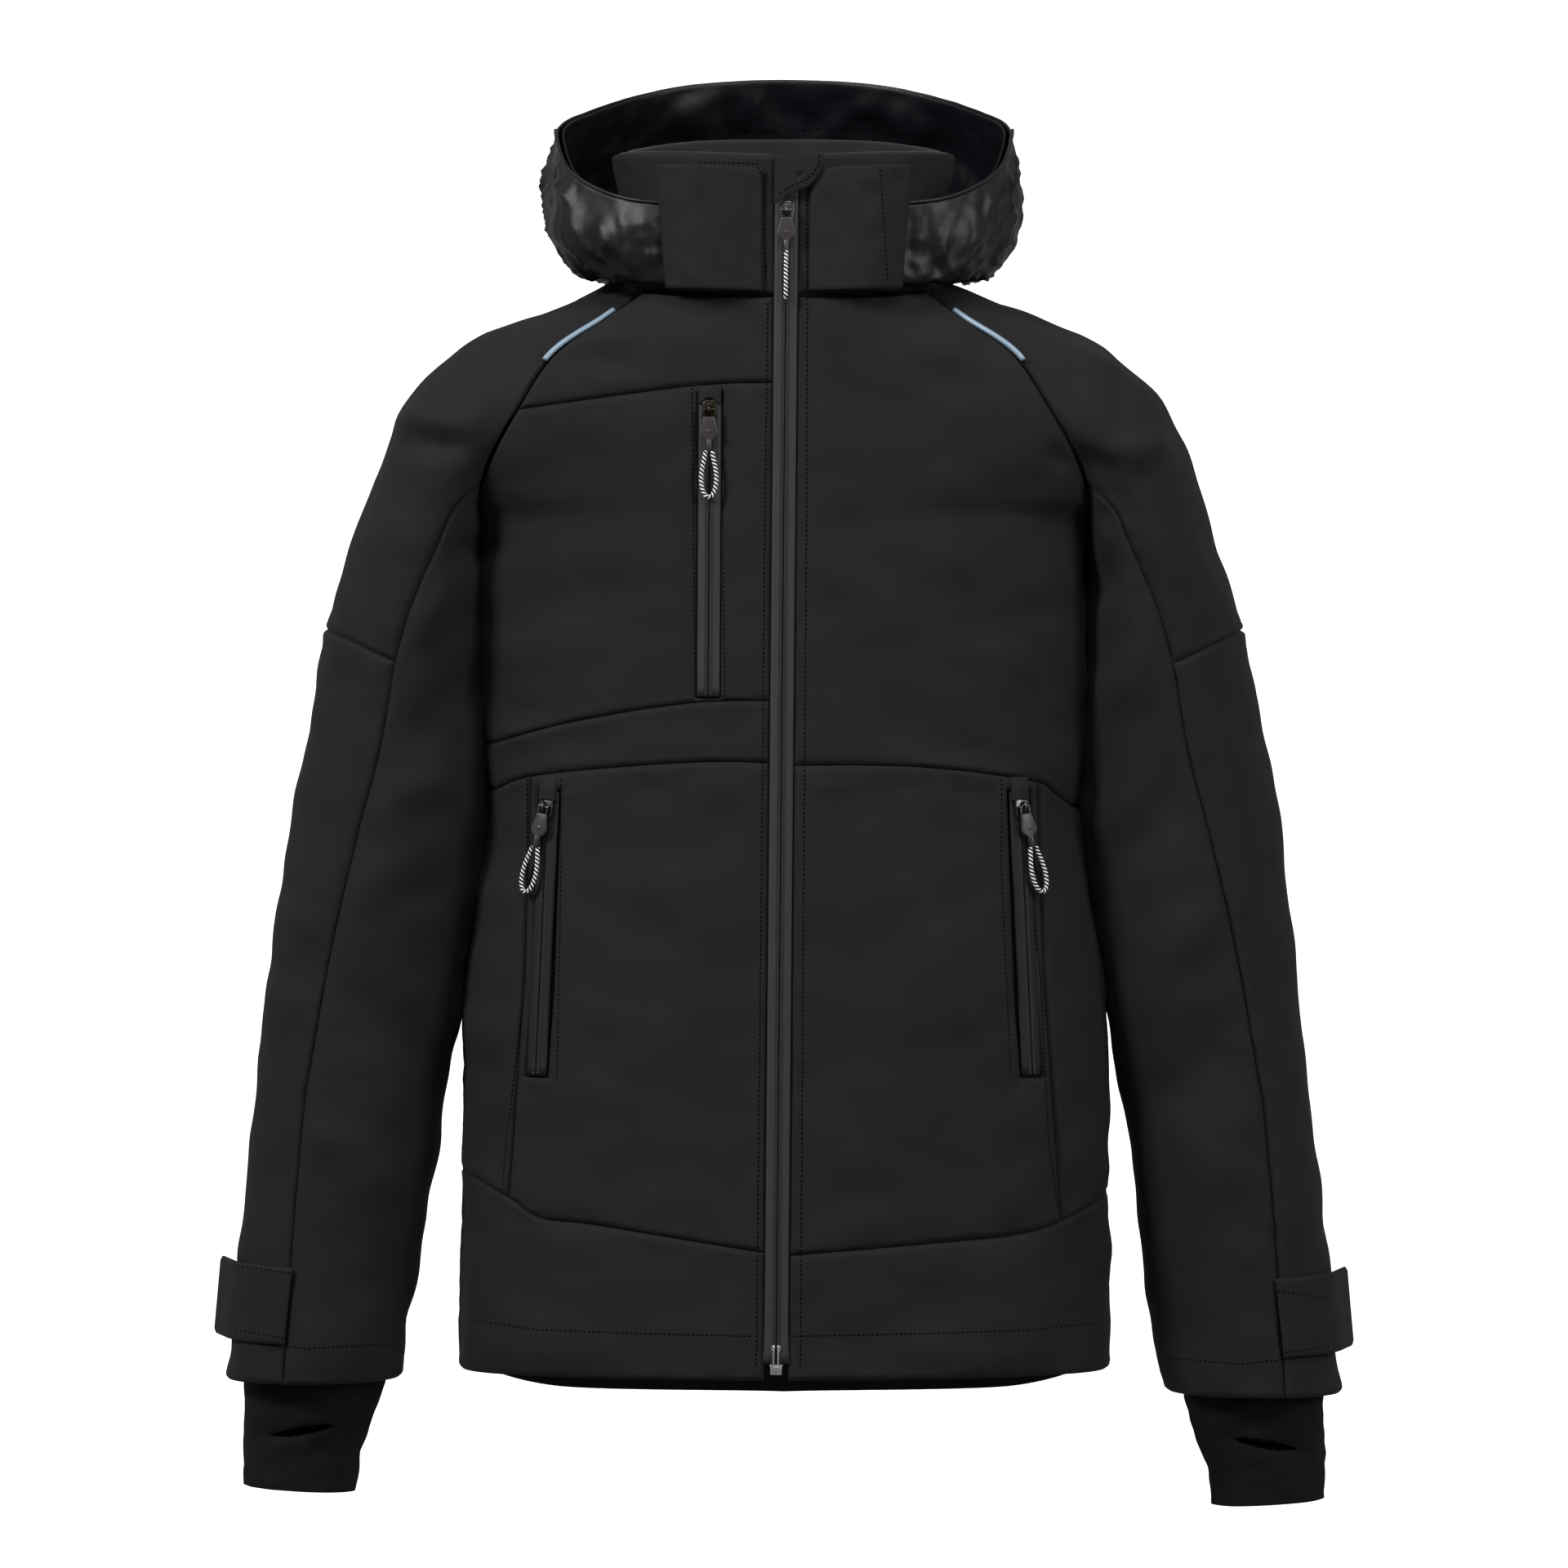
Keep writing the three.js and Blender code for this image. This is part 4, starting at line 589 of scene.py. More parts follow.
def make_knit_group():
    """Vertical ribs of a knitted cuff, on the piece's own UV map in metres."""
    outputs = (("Mask", "NodeSocketFloat"), ("Normal", "NodeSocketVector"))
    group, start, end = node_group("Rib knit", (("Ribs", 700.0), ("Bump", 0.6)), outputs)
    coords = add_node(group, "ShaderNodeTexCoord")
    scaled = add_node(group, "ShaderNodeVectorMath", operation="SCALE")
    link(group, coords.outputs["UV"], scaled.inputs[0])
    link(group, start.outputs["Ribs"], scaled.inputs["Scale"])
    ribs = add_node(group, "ShaderNodeTexWave", bands_direction="X", Scale=0.32, Distortion=0.4)
    fuzz = add_node(group, "ShaderNodeTexNoise", Scale=1.6, Detail=4.0, Roughness=0.75)
    for node in (ribs, fuzz):
        link(group, scaled.outputs["Vector"], node.inputs["Vector"])
    height = add_node(group, "ShaderNodeMath", operation="ADD")
    link(group, ribs.outputs["Fac"], height.inputs[0])
    link(group, fuzz.outputs["Fac"], height.inputs[1])
    bump = add_node(group, "ShaderNodeBump", Distance=0.0004)
    link(group, height.outputs[0], bump.inputs["Height"])
    link(group, start.outputs["Bump"], bump.inputs["Strength"])
    link(group, height.outputs[0], end.inputs["Mask"])
    link(group, bump.outputs["Normal"], end.inputs["Normal"])
    return group


def make_scuff_group():
    """Small unevenness of moulded or cast parts: a mask and a bumped normal."""
    outputs = (("Mask", "NodeSocketFloat"), ("Normal", "NodeSocketVector"))
    group, start, end = node_group("Scuffs", (("Size", 900.0), ("Bump", 0.15)), outputs)
    coords = add_node(group, "ShaderNodeTexCoord")
    noise = add_node(group, "ShaderNodeTexNoise", Detail=4.0, Roughness=0.65)
    link(group, coords.outputs["Object"], noise.inputs["Vector"])
    link(group, start.outputs["Size"], noise.inputs["Scale"])
    bump = add_node(group, "ShaderNodeBump", Distance=0.0002)
    link(group, noise.outputs["Fac"], bump.inputs["Height"])
    link(group, start.outputs["Bump"], bump.inputs["Strength"])
    link(group, noise.outputs["Fac"], end.inputs["Mask"])
    link(group, bump.outputs["Normal"], end.inputs["Normal"])
    return group


def make_braid_group():
    """Two-colour zigzag braid on a cord's UV map: around it and along it, in turns and metres."""
    outputs = (("Mask", "NodeSocketFloat"), ("Normal", "NodeSocketVector"))
    group, start, end = node_group("Braid", (("Strands", 2.0), ("Pitch", 400.0)), outputs)
    coords = add_node(group, "ShaderNodeTexCoord")
    split = add_node(group, "ShaderNodeSeparateXYZ")
    link(group, coords.outputs["UV"], split.inputs[0])

    def math_node(operation, first, second, third=None):
        node = add_node(group, "ShaderNodeMath", operation=operation)
        for k, value in enumerate(v for v in (first, second, third) if v is not None):
            if isinstance(value, float):
                node.inputs[k].default_value = value
            else:
                link(group, value, node.inputs[k])
        return node.outputs[0]

    turns = math_node("MULTIPLY", split.outputs["X"], start.outputs["Strands"])
    run = math_node("MULTIPLY", split.outputs["Y"], start.outputs["Pitch"])
    rising = math_node("PINGPONG", math_node("ADD", turns, run), 0.5)
    falling = math_node("PINGPONG", math_node("SUBTRACT", turns, run), 0.5)
    checks = math_node("GREATER_THAN", rising, 0.29)
    height = math_node("MULTIPLY", rising, falling)
    bump = add_node(group, "ShaderNodeBump", Distance=0.0006, Strength=0.9)
    link(group, height, bump.inputs["Height"])
    link(group, checks, end.inputs["Mask"])
    link(group, bump.outputs["Normal"], end.inputs["Normal"])
    return group


def finish_material(name, group, low, high, settings, values=()):
    """A Principled finish whose colour runs from low to high by the group's mask."""
    material = bpy.data.materials.new(name)
    material.use_nodes = True
    tree = material.node_tree
    shader = tree.nodes["Principled BSDF"]
    look = add_node(tree, "ShaderNodeGroup", node_tree=group)
    for key, value in values:
        look.inputs[key].default_value = value
    ramp = add_node(tree, "ShaderNodeMapRange")
    ramp.inputs["From Min"].default_value = 0.25
    ramp.inputs["From Max"].default_value = 1.0
    link(tree, look.outputs["Mask"], ramp.inputs["Value"])
    mix = add_node(tree, "ShaderNodeMix", data_type="RGBA")
    mix.inputs["A"].default_value = (*low, 1)
    mix.inputs["B"].default_value = (*high, 1)
    link(tree, ramp.outputs["Result"], mix.inputs["Factor"])
    link(tree, mix.outputs["Result"], shader.inputs["Base Color"])
    link(tree, look.outputs["Normal"], shader.inputs["Normal"])
    for key, value in settings.items():
        shader.inputs[key].default_value = value
    material.diffuse_color = (*high, 1)
    MATERIALS[name] = material
    return material


def make_finishes(colours):
    weave, crumple, knit = make_weave_group(), make_crumple_group(), make_knit_group()
    scuff, braid = make_scuff_group(), make_braid_group()
    shell, nylon, fleece = np.array(colours.shell), np.array(colours.nylon), np.array(colours.fleece)
    tape, rubber, piping = np.array(colours.tape), np.array(colours.rubber), np.array(colours.piping)
    metal = {"Metallic": 1.0, "Roughness": 0.32}
    cloth = {"Roughness": 0.8, "Specular IOR Level": 0.14, "Sheen Weight": 0.012, "Sheen Roughness": 0.5}
    finish_material("softshell", weave, shell * 0.75, shell * 1.3, cloth)
    # The hood nylon runs dark to light with its creases: painted shade and painted highlight.
    finish_material("hood nylon", crumple, nylon * 0.5, nylon * 1.1,
                    {"Roughness": 0.34, "Specular IOR Level": 0.3}, (("Size", 20.0), ("Bump", 0.6)))
    finish_material("lining cloth", weave, shell * 0.5, shell * 0.9,
                    {"Roughness": 0.7, "Specular IOR Level": 0.15}, (("Threads", 2600.0),))
    pile = {"Roughness": 1.0, "Specular IOR Level": 0.03, "Sheen Weight": 0.12, "Sheen Roughness": 0.7}
    finish_material("collar fleece", weave, fleece * 0.35, fleece * 1.5, pile,
                    (("Threads", 900.0), ("Bump", 1.0)))
    finish_material("gaiter knit", knit, shell * 0.55, shell * 1.15,
                    {"Roughness": 0.92, "Specular IOR Level": 0.06, "Sheen Weight": 0.01}, (("Bump", 0.5),))
    finish_material("zip tape", weave, tape * 0.8, tape * 1.25,
                    {"Roughness": 0.55, "Specular IOR Level": 0.18}, (("Threads", 2200.0), ("Bump", 0.35)))
    finish_material("pocket tape", weave, tape * 0.35, tape * 0.6,
                    {"Roughness": 0.6, "Specular IOR Level": 0.12}, (("Threads", 2200.0), ("Bump", 0.35)))
    finish_material("zip coil", scuff, tape * 0.8, tape * 1.3, {"Roughness": 0.5, "Specular IOR Level": 0.25})
    finish_material("puller rubber", scuff, rubber * 0.8, rubber * 1.2,
                    {"Roughness": 0.42, "Specular IOR Level": 0.45})
    finish_material("gunmetal", scuff, (0.05, 0.05, 0.055), (0.11, 0.11, 0.115), metal)
    finish_material("antique brass", scuff, (0.022, 0.018, 0.014), (0.055, 0.045, 0.034), metal)
    finish_material("nickel", scuff, (0.42, 0.42, 0.42), (0.6, 0.6, 0.6),
                    {"Metallic": 1.0, "Roughness": 0.25})
    finish_material("cord braid", braid, (0.004, 0.004, 0.005), (0.72, 0.72, 0.72),
                    {"Roughness": 0.75, "Specular IOR Level": 0.2})
    finish_material("reflective piping", weave, piping * 0.85, piping * 1.15,
                    {"Roughness": 0.35, "Specular IOR Level": 0.6}, (("Threads", 3000.0), ("Bump", 0.1)))
    # The thread is coloured near black so that each stitch shows as a dark dot: painted shade of the stitch
    # holes, darker than the thread's own colour.
    finish_material("sewing thread", scuff, shell * 0.04, shell * 0.15,
                    {"Roughness": 0.7, "Specular IOR Level": 0.05})
    finish_material("hook tape", scuff, (0.004, 0.004, 0.004), (0.012, 0.012, 0.012), {"Roughness": 0.8},
                    (("Size", 1800.0), ("Bump", 0.9)))
    finish_material("binding tape", weave, shell * 0.6, shell * 1.0,
                    {"Roughness": 0.7, "Specular IOR Level": 0.2}, (("Threads", 2000.0),))
    MATERIALS["cord braid"].node_tree.nodes["Map Range"].inputs["From Min"].default_value = 0.0
    for name in ("hood nylon", "zip coil", "puller rubber", "gunmetal", "antique brass", "nickel",
                 "sewing thread", "hook tape"):
        MATERIALS[name].node_tree.nodes["Map Range"].inputs["From Max"].default_value = 0.8


# ---- the body -------------------------------------------------------------------

HIDDEN_PITCH = 9.0               # grid of the linings and pocket bags
ROLL_REACH = 3.6                 # how far in from a seam the cloth turns down
ROLL_DEPTH = 2.3
POCKET_SLOT_HALF = 7.2
CHEST_SLOT_HALF = 7.5
CHEST_SLOT_LOW_Z = -287.7


def place_body(face, knots, rungs, cols, rows, inset=0.0):
    """A grid on the body. knots give q at a height, rungs give a height at an x.

    cols count along the knots and rows along the rungs.
    """
    s, t = np.meshgrid(cols, rows)
    z = np.interp(t, range(len(rungs)), [rung(0.0) for rung in rungs])
    q = np.zeros_like(z)
    for _ in range(14):
        edges = np.stack([np.broadcast_to(knot(z), z.shape) for knot in knots])
        q = pick_between(edges, s)
        x = body_point(face, q, z)[..., 0]
        heights = np.stack([np.broadcast_to(rung(x), x.shape) for rung in rungs])
        z = pick_between(heights, t)
    return body_point(face, q, z, inset)


def pick_between(levels, s):
    k = np.clip(np.floor(s).astype(int), 0, len(levels) - 2)
    low = np.take_along_axis(levels, k[None], 0)[0]
    high = np.take_along_axis(levels, k[None] + 1, 0)[0]
    return low + (high - low) * (s - k)


def level(z):
    """A rung that stays at one height."""
    return lambda x: np.full(np.shape(x), z)


def body_panel(name, face, knots, rungs, thick=SHELL, inset=0.0, pitch=5.0, slot=None, rolled=True,
               finish="softshell"):
    """One sewn panel of the body, with soft folds and rounded edges unless it is hidden.

    slot leaves out the middle of a 3 by 3 grid, for a zip.
    """
    rough = place_body(face, knots, rungs, np.linspace(0, len(knots) - 1, 3 * len(knots)),
                       np.linspace(0, len(rungs) - 1, 3 * len(rungs)), inset)
    cols = steps_between(rough, 1, len(knots) - 1, pitch)
    rows = steps_between(rough, 0, len(rungs) - 1, pitch)
    outer = place_body(face, knots, rungs, cols, rows, inset)
    keep = None
    if slot:
        in_slot_cols = (cols[:-1] >= 1 - 1e-6) & (cols[1:] <= 2 + 1e-6)
        in_slot_rows = (rows[:-1] >= 1 - 1e-6) & (rows[1:] <= 2 + 1e-6)
        keep = ~(in_slot_rows[:, None] & in_slot_cols[None, :])
    gap = edge_gap(outer)
    if slot:
        gap = np.minimum(gap, slot_gap(outer, cols, rows))
    return finish_panel(name, outer, gap, thick, keep, rolled, finish)


def steps_between(rough, axis, spans, pitch):
    """Grid steps over each span of a rough grid, closer together beside each knot."""
    lengths = np.linalg.norm(np.diff(rough, axis=axis), axis=-1)
    per_step = lengths.mean(axis=1 - axis)
    edges = np.linspace(0, len(per_step), spans + 1).round().astype(int)
    steps = [spaced(per_step[a:b].sum(), pitch) + k for k, (a, b) in enumerate(zip(edges[:-1], edges[1:]))]
    return np.concatenate([steps[0]] + [extra[1:] for extra in steps[1:]])


def slot_gap(grid, cols, rows):
    """Distance from each point to the slot in the middle of the grid."""
    c0, c1 = np.argmin(abs(cols - 1)), np.argmin(abs(cols - 2))
    r0, r1 = np.argmin(abs(rows - 1)), np.argmin(abs(rows - 2))
    gap = np.full(grid.shape[:2], 1e3)
    for edge in (grid[r0:r1 + 1, c0], grid[r0:r1 + 1, c1], grid[r0, c0:c1 + 1], grid[r1, c0:c1 + 1]):
        away = np.linalg.norm(grid[:, :, None, :] - edge[None, None], axis=-1).min(axis=-1)
        gap = np.minimum(gap, away)
    return gap


def finish_panel(name, outer, gap, thick, keep, rolled, finish, seed=1):
    """Rounds a panel's edges, lays the folds on it and gives it thickness."""
    normals = normals_of(outer)
    middle = outer.reshape(-1, 3).mean(0) * (1, 0, 0.3) + (0, 0, outer[..., 2].mean() * 0.7)
    if ((outer - middle) * normals).sum() < 0:
        normals = -normals
    soft = fold_height(outer, normals) + ripple(outer, 5, 130.0) * 2.0 + ripple(outer, 9, 46.0, 2) * 0.55
    soft *= np.clip(gap / 14, 0.12, 1)
    roll = np.zeros(gap.shape)
    if rolled:
        near = np.clip(1 - gap / ROLL_REACH, 0, 1)
        pucker = ripple(outer, 17 + seed, 13.0, 2) * 0.6 * np.exp(-gap / 9) * np.clip(gap / 2, 0, 1)
        roll = pucker - ROLL_DEPTH * near**2
    top = outer + normals * (soft + roll)[..., None]
    bottom = outer - normals * (thick - np.clip(soft, -3, 3))[..., None]
    return slab(name, top, bottom, finish, keep)


def rung(name, by=0.0):
    return lambda x: LINE[name](x, by)


def front_knots(side, inner, outer):
    return [outer, inner] if side < 0 else [inner, outer]


def slot_knots(centre_x, half):
    """The two sides of a zip's slot, from left to right as q rises."""
    return [lambda z: q_at(FRONT, centre_x(z) - half, z), lambda z: q_at(FRONT, centre_x(z) + half, z)]


def make_front(side):
    word = WORD[side]
    zip_edge, side_edge = beside_zip(side), at_side(FRONT, side)
    seam = pocket_seam(side)
    waist, hem = f"waist_{word}", f"hem_{word}"
    top = rung("front_neck", -SEAM)
    made = []
    if side < 0:
        made.append(body_panel("yoke_front_right", FRONT, [side_edge, zip_edge], [rung("yoke", SEAM), top]))
        centre = lambda z: np.interp(z, [-287, -94], [-48.5, -47.5])
        knots = [side_edge, *slot_knots(centre, CHEST_SLOT_HALF), zip_edge]
        under_yoke = lambda x: -93.3 - 0.16 * np.clip(np.abs(x) - 60, 0, None)
        rungs = [rung("band", SEAM), level(CHEST_SLOT_LOW_Z), under_yoke, rung("yoke", -SEAM)]
        made.append(body_panel("chest_panel_right", FRONT, knots, rungs, slot=True))
        made.append(body_panel("chest_band_right", FRONT, [side_edge, zip_edge],
                               [rung(waist, SEAM), rung("band", -SEAM)]))
    else:
        made.append(body_panel("upper_front_left", FRONT, [zip_edge, side_edge], [rung(waist, SEAM), top]))
    centre = lambda z: seam(z) - side * 13
    slot = slot_knots(centre, POCKET_SLOT_HALF)
    inner = zip_edge
    outer = lambda z: q_at(FRONT, seam(z) - side * SEAM, z)
    knots = [outer, *slot, inner] if side < 0 else [inner, *slot, outer]
    rungs = [rung(hem, SEAM), level(-530.7), level(-347.3), rung(waist, -SEAM)]
    made.append(body_panel(f"lower_front_{word}", FRONT, knots, rungs, slot=True))
    beside = lambda z: q_at(FRONT, seam(z) + side * SEAM, z)
    made.append(body_panel(f"side_front_{word}", FRONT, front_knots(side, beside, side_edge),
                           [rung(hem, SEAM), rung(waist, -SEAM)]))
    made.append(body_panel(f"hem_front_{word}", FRONT, front_knots(side, zip_edge, side_edge),
                           [rung("front_edge"), rung(hem, -SEAM)]))
    for obj in made:
        settle_piece(obj, node_of(obj))
    lining = body_panel(f"lining_front_{word}", FRONT, front_knots(side, beside_zip(side, 3), side_edge),
                        [rung("front_edge", 26), rung("front_neck", -5)], LINING, LINING_INSET,
                        HIDDEN_PITCH, rolled=False, finish="lining cloth")
    settle_piece(lining, node_of(lining))
    bag_in = lambda z: q_at(FRONT, side * 70.0, z)
    bag_out = lambda z: q_at(FRONT, seam(z) - side * 6, z)
    bag = body_panel(f"{word}_pocket_bag", FRONT, front_knots(side, bag_in, bag_out),
                     [level(-548.0), level(-352.0)], BAG, BAG_INSET, HIDDEN_PITCH, rolled=False,
                     finish="lining cloth")
    settle_piece(bag, node_of(bag))


def settle_piece(obj, node, body="root"):
    """A sewn piece rides on a body and hides the CAD node that it stands for, if it has one."""
    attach(obj, body)
    if node:
        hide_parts(node)


def declare_sheet(obj, flat=None):
    """Works out the flat size of a thin piece of cloth over its own surface unless one is given; the size is
    not kept.
    """
    if flat is None:
        area = sum(p.area for p in obj.data.polygons) / 2
        low, high = bounds_of(obj)
        long_side = max(high - low)
        flat = (area / long_side, long_side)


def bounds_of(obj):
    co = np.array([v.co for v in obj.data.vertices])
    return co.min(0), co.max(0)


def make_back():
    knots = [at_side(BACK, RIGHT), at_side(BACK, LEFT)]
    for name, rungs in (
        ("back_yoke", [rung("yoke_back", SEAM), rung("back_neck", -SEAM)]),
        ("back_panel", [rung("hem_back", SEAM), rung("yoke_back", -SEAM)]),
        ("hem_back", [rung("back_edge"), rung("hem_back", -SEAM)]),
    ):
        obj = body_panel(name, BACK, knots, rungs)
        settle_piece(obj, name)
    lining = body_panel("lining_back", BACK, knots, [rung("back_edge", 30), rung("back_neck", -30)], LINING,
                        LINING_INSET, HIDDEN_PITCH, rolled=False, finish="lining cloth")
    settle_piece(lining, "lining_back")


def make_body():
    for side in SIDES:
        make_front(side)
    make_back()
    bag_sides = [lambda z: q_at(FRONT, -128.0, z), lambda z: q_at(FRONT, -34.0, z)]
    bag = body_panel("chest_pocket_bag", FRONT, bag_sides, [level(-296.0), level(-112.0)], BAG, BAG_INSET,
                     HIDDEN_PITCH, rolled=False, finish="lining cloth")
    settle_piece(bag, "chest_pocket_bag")
    for name in ("lining_front_right", "lining_front_left", "lining_back", "right_pocket_bag",
                 "left_pocket_bag", "chest_pocket_bag"):
        declare_sheet(PIECES[name])


# ---- sleeves, gaiters and cuff tabs ---------------------------------------------


def sleeve_panel(name, side, start, end, first, last):
    """One sleeve panel between two long seams, from ring first to ring last."""
    phi_rows = np.linspace(first, last, 12 * (last - first) + 1)
    rough_phi = (start(phi_rows) + end(phi_rows)) / 2
    spine = sleeve_point(side, rough_phi, phi_rows)
    run = np.concatenate([[0], np.cumsum(np.linalg.norm(np.diff(spine, axis=0), axis=1))])
    t = spaced(run[-1], 5.0)
    s_rows = np.interp(t * run[-1], run, phi_rows)
    middle = (first + last) / 2
    around = np.linspace(start(middle), end(middle), 20)
    width = np.linalg.norm(np.diff(sleeve_point(side, around, np.full(20, middle)), axis=0), axis=1).sum()
    u = spaced(width, 5.0)
    low = np.maximum(s_rows, 0.001)
    seam = 0.09
    begin, finish_at = start(s_rows) + seam, end(s_rows) - seam
    phi = begin[:, None] + (finish_at - begin)[:, None] * u[None, :]
    s = np.broadcast_to(low[:, None], phi.shape).copy()
    if first == 0:
        first_gap = np.linalg.norm(ring_point(0, phi[0], 0) - ring_point(1, phi[0], 0), axis=-1)
        offset = 0.9 / np.maximum(first_gap, 3.0)
        s = s + offset[None, :] * np.clip(1 - s / 0.5, 0, 1)
    outer = sleeve_point(side, phi, s)
    outer += elbow_waves(outer, side)
    gap = edge_gap(outer)
    return finish_panel(name, outer, gap, SHELL, None, True, "softshell", seed=3 + side)


def elbow_waves(points, side):
    """Soft cross folds at the inside of the elbow, where the arm bends."""
    wave = np.sin(points[..., 2] / 13.0 + points[..., 1] / 40.0)
    height = np.exp(-(((points[..., 2] + 330) / 60) ** 2)) * np.clip((262 - side * points[..., 0]) / 50, 0, 1)
    lift = np.zeros(points.shape)
    lift[..., 0] = -side * wave * height * 1.6
    return lift


def make_sleeves():
    front = lambda s: along(FRONT_SLEEVE_SEAM, s)
    back = lambda s: along(BACK_SLEEVE_SEAM, s)
    for side in SIDES:
        word = WORD[side]
        outside = lambda s: back(s) - 360
        for name, start, end, first, last in (
            (f"sleeve_upper_{word}", outside, front, 0, ELBOW_RING),
            (f"sleeve_lower_{word}", outside, front, ELBOW_RING, LAST_RING),
            (f"sleeve_inner_{word}", front, back, 0, LAST_RING),
        ):
            obj = sleeve_panel(name, side, start, end, first, last)
            settle_piece(obj, name)


def make_gaiters():
    """Knitted gaiters, gathered round the wrist, with a slit for the thumb."""
    heights = np.linspace(-700, -803, 130)
    turns = np.radians(np.arange(0, 360, 2.0))
    rings = np.array(GAITER_RINGS[::-1], float)
    for side in SIDES:
        drop = LEFT_SLEEVE_DROP if side > 0 else 0.0
        z, angle = np.meshgrid(heights, turns, indexing="ij")
        inner, outer_x, depth = (np.interp(z, rings[:, 0], rings[:, k]) for k in (1, 2, 3))
        waves = np.sin((z + 14 * np.sin(angle * 2 + side)) / 4.6) * np.clip(-np.sin(angle), 0, 1)
        unrolled = np.stack([angle * 30, z, z * 0], -1)
        slack = 1.5 * waves * np.exp(-(((z + 742) / 18) ** 2)) + ripple(unrolled, 31 + side, 38.0) * 0.9
        tipped = 2.2 * np.cos(angle) * np.clip((-790 - z) / 10, 0, 1)

        def wall(inset):
            x = (inner + outer_x) / 2 + np.cos(angle) * ((outer_x - inner) / 2 - inset + slack)
            y = ARM_Y + np.sin(angle) * (depth - inset + slack)
            return np.stack([side * x, y, z - drop + tipped], -1)

        outer, inside = wall(0.0), wall(2.2)
        centre = np.abs(outer[..., 0] - side * 313) / 22
        height = (outer[..., 2] + drop + 763 + 0.16 * (np.abs(outer[..., 0]) - 313)) / 3.4
        in_front = outer[..., 1] < ARM_Y
        slit = (centre**2 + height**2 < 1) & in_front
        pull = np.exp(-np.clip(np.hypot(centre, height) - 1, 0, 9) * 1.6) * in_front
        outer[..., 1] += pull * 1.4
        keep = ~(slit[:-1] & np.roll(slit, -1, 1)[:-1] & slit[1:] & np.roll(slit, -1, 1)[1:])
        uv = np.stack([angle * 0.04, (z - heights.min()) * MM], -1)
        name = f"wrist_gaiter_{WORD[side]}"
        obj = slab(name, outer, inside, "gaiter knit", keep, wrap=True, uv=uv)
        settle_piece(obj, name)
        declare_sheet(obj, flat=(0.26, 0.105))


TAB_TOP_S = 11.99
TAB_LOW_S = TAB_TOP_S + 50 / 76
TAB_SEWN_PHI = 73.0
TAB_LEAVES_PHI = 14.0
TAB_FREE = 36.0


def tab_point(side, share, t, clearance):
    """A point of a cuff tab: share runs from the sewn end to the free end, t from the top edge down."""
    s = TAB_TOP_S + (TAB_LOW_S - TAB_TOP_S) * t
    on = np.minimum(share, 1)
    phi = TAB_SEWN_PHI + (TAB_LEAVES_PHI - TAB_SEWN_PHI) * on
    point = sleeve_point(side, phi, s, -clearance)
    before = sleeve_point(side, np.full_like(s, TAB_LEAVES_PHI + 6), s, -clearance)
    leave = sleeve_point(side, np.full_like(s, TAB_LEAVES_PHI), s, -clearance)
    ahead = (leave - before) / np.linalg.norm(leave - before, axis=-1, keepdims=True)
    return point + ahead * (TAB_FREE * np.maximum(share - 1, 0))[..., None]


def make_tabs():
    """Cuff tabs with a hook patch inside the free end, and the loop patch they close on."""
    for side in SIDES:
        word = WORD[side]
        share, t = np.meshgrid(spaced(74, 3.0) * 2, spaced(50, 3.0))
        corner = np.clip((share - 1.86) / 0.14, 0, 1) ** 2
        t = 0.5 + (t - 0.5) * (1 - 0.13 * corner)
        far = tab_point(side, share, t, 3.6)
        near = tab_point(side, share, t, 1.0)
        gap = edge_gap(far)
        middle, half = (far + near) / 2, (far - near) / 2
        fat = np.sqrt(np.clip(gap / 2.2, 0.06, 1))[..., None]
        tab = slab(f"cuff_tab_{word}", middle + half * fat, middle - half * fat, "softshell")
        settle_piece(tab, node_of(tab), node_of(tab))
        declare_sheet(tab, flat=(0.05, round(float(tab_length(far)), 3)))
        share, t = np.meshgrid(np.linspace(1.5, 1.92, 12), np.linspace(0.08, 0.92, 14))
        patch = slab(f"cuff_hook_patch_{word}", tab_point(side, share, t, 0.7),
                     tab_point(side, share, t, -0.3), "hook tape")
        settle_piece(patch, node_of(patch), node_of(tab))
        declare_sheet(patch)
        share, t = np.meshgrid(np.linspace(0.45, 0.95, 12), np.linspace(0.1, 0.9, 14))
        soft = slab(f"cuff_loop_patch_{word}", tab_point(side, share, t, 0.8),
                    tab_point(side, share, t, -0.5), "hook tape")
        settle_piece(soft, None)
        declare_sheet(soft)


def tab_length(grid):
    middle = grid[len(grid) // 2]
    return np.linalg.norm(np.diff(middle, axis=0), axis=1).sum() * MM


# ---- collar ---------------------------------------------------------------------


def collar_piece(name, near, far, share, up, finish, sag=None, rounded=2.2):
    """A piece of the collar between two insets, with its rim rounded over."""
    s, t = np.meshgrid(share, up)
    outer, inner = collar_point(s, t, near(s)), collar_point(s, t, far(s))
    gap = edge_gap(outer)
    fat = np.sqrt(np.clip(gap / rounded, 0.05, 1))[..., None]
    middle, half = (outer + inner) / 2, (outer - inner) / 2
    lift = half / np.linalg.norm(half, axis=-1, keepdims=True)
    soft = ripple(outer, 41, 46.0) * 1.3 + ripple(outer, 43, 18.0, 2) * 0.3
    if sag is not None:
        soft = soft + sag(outer)
    soft = (soft * np.clip(gap / 10, 0.2, 1))[..., None]
    return slab(name, middle + half * fat + lift * soft, middle - half * fat + lift * soft, finish)


def share_at(x_target, up=0.5):
    shares = np.linspace(0, 0.5, 400)
    x = np.abs(collar_point(shares, np.full(400, up))[:, 0])
    return float(np.interp(x_target, x[:200], shares[:200]))


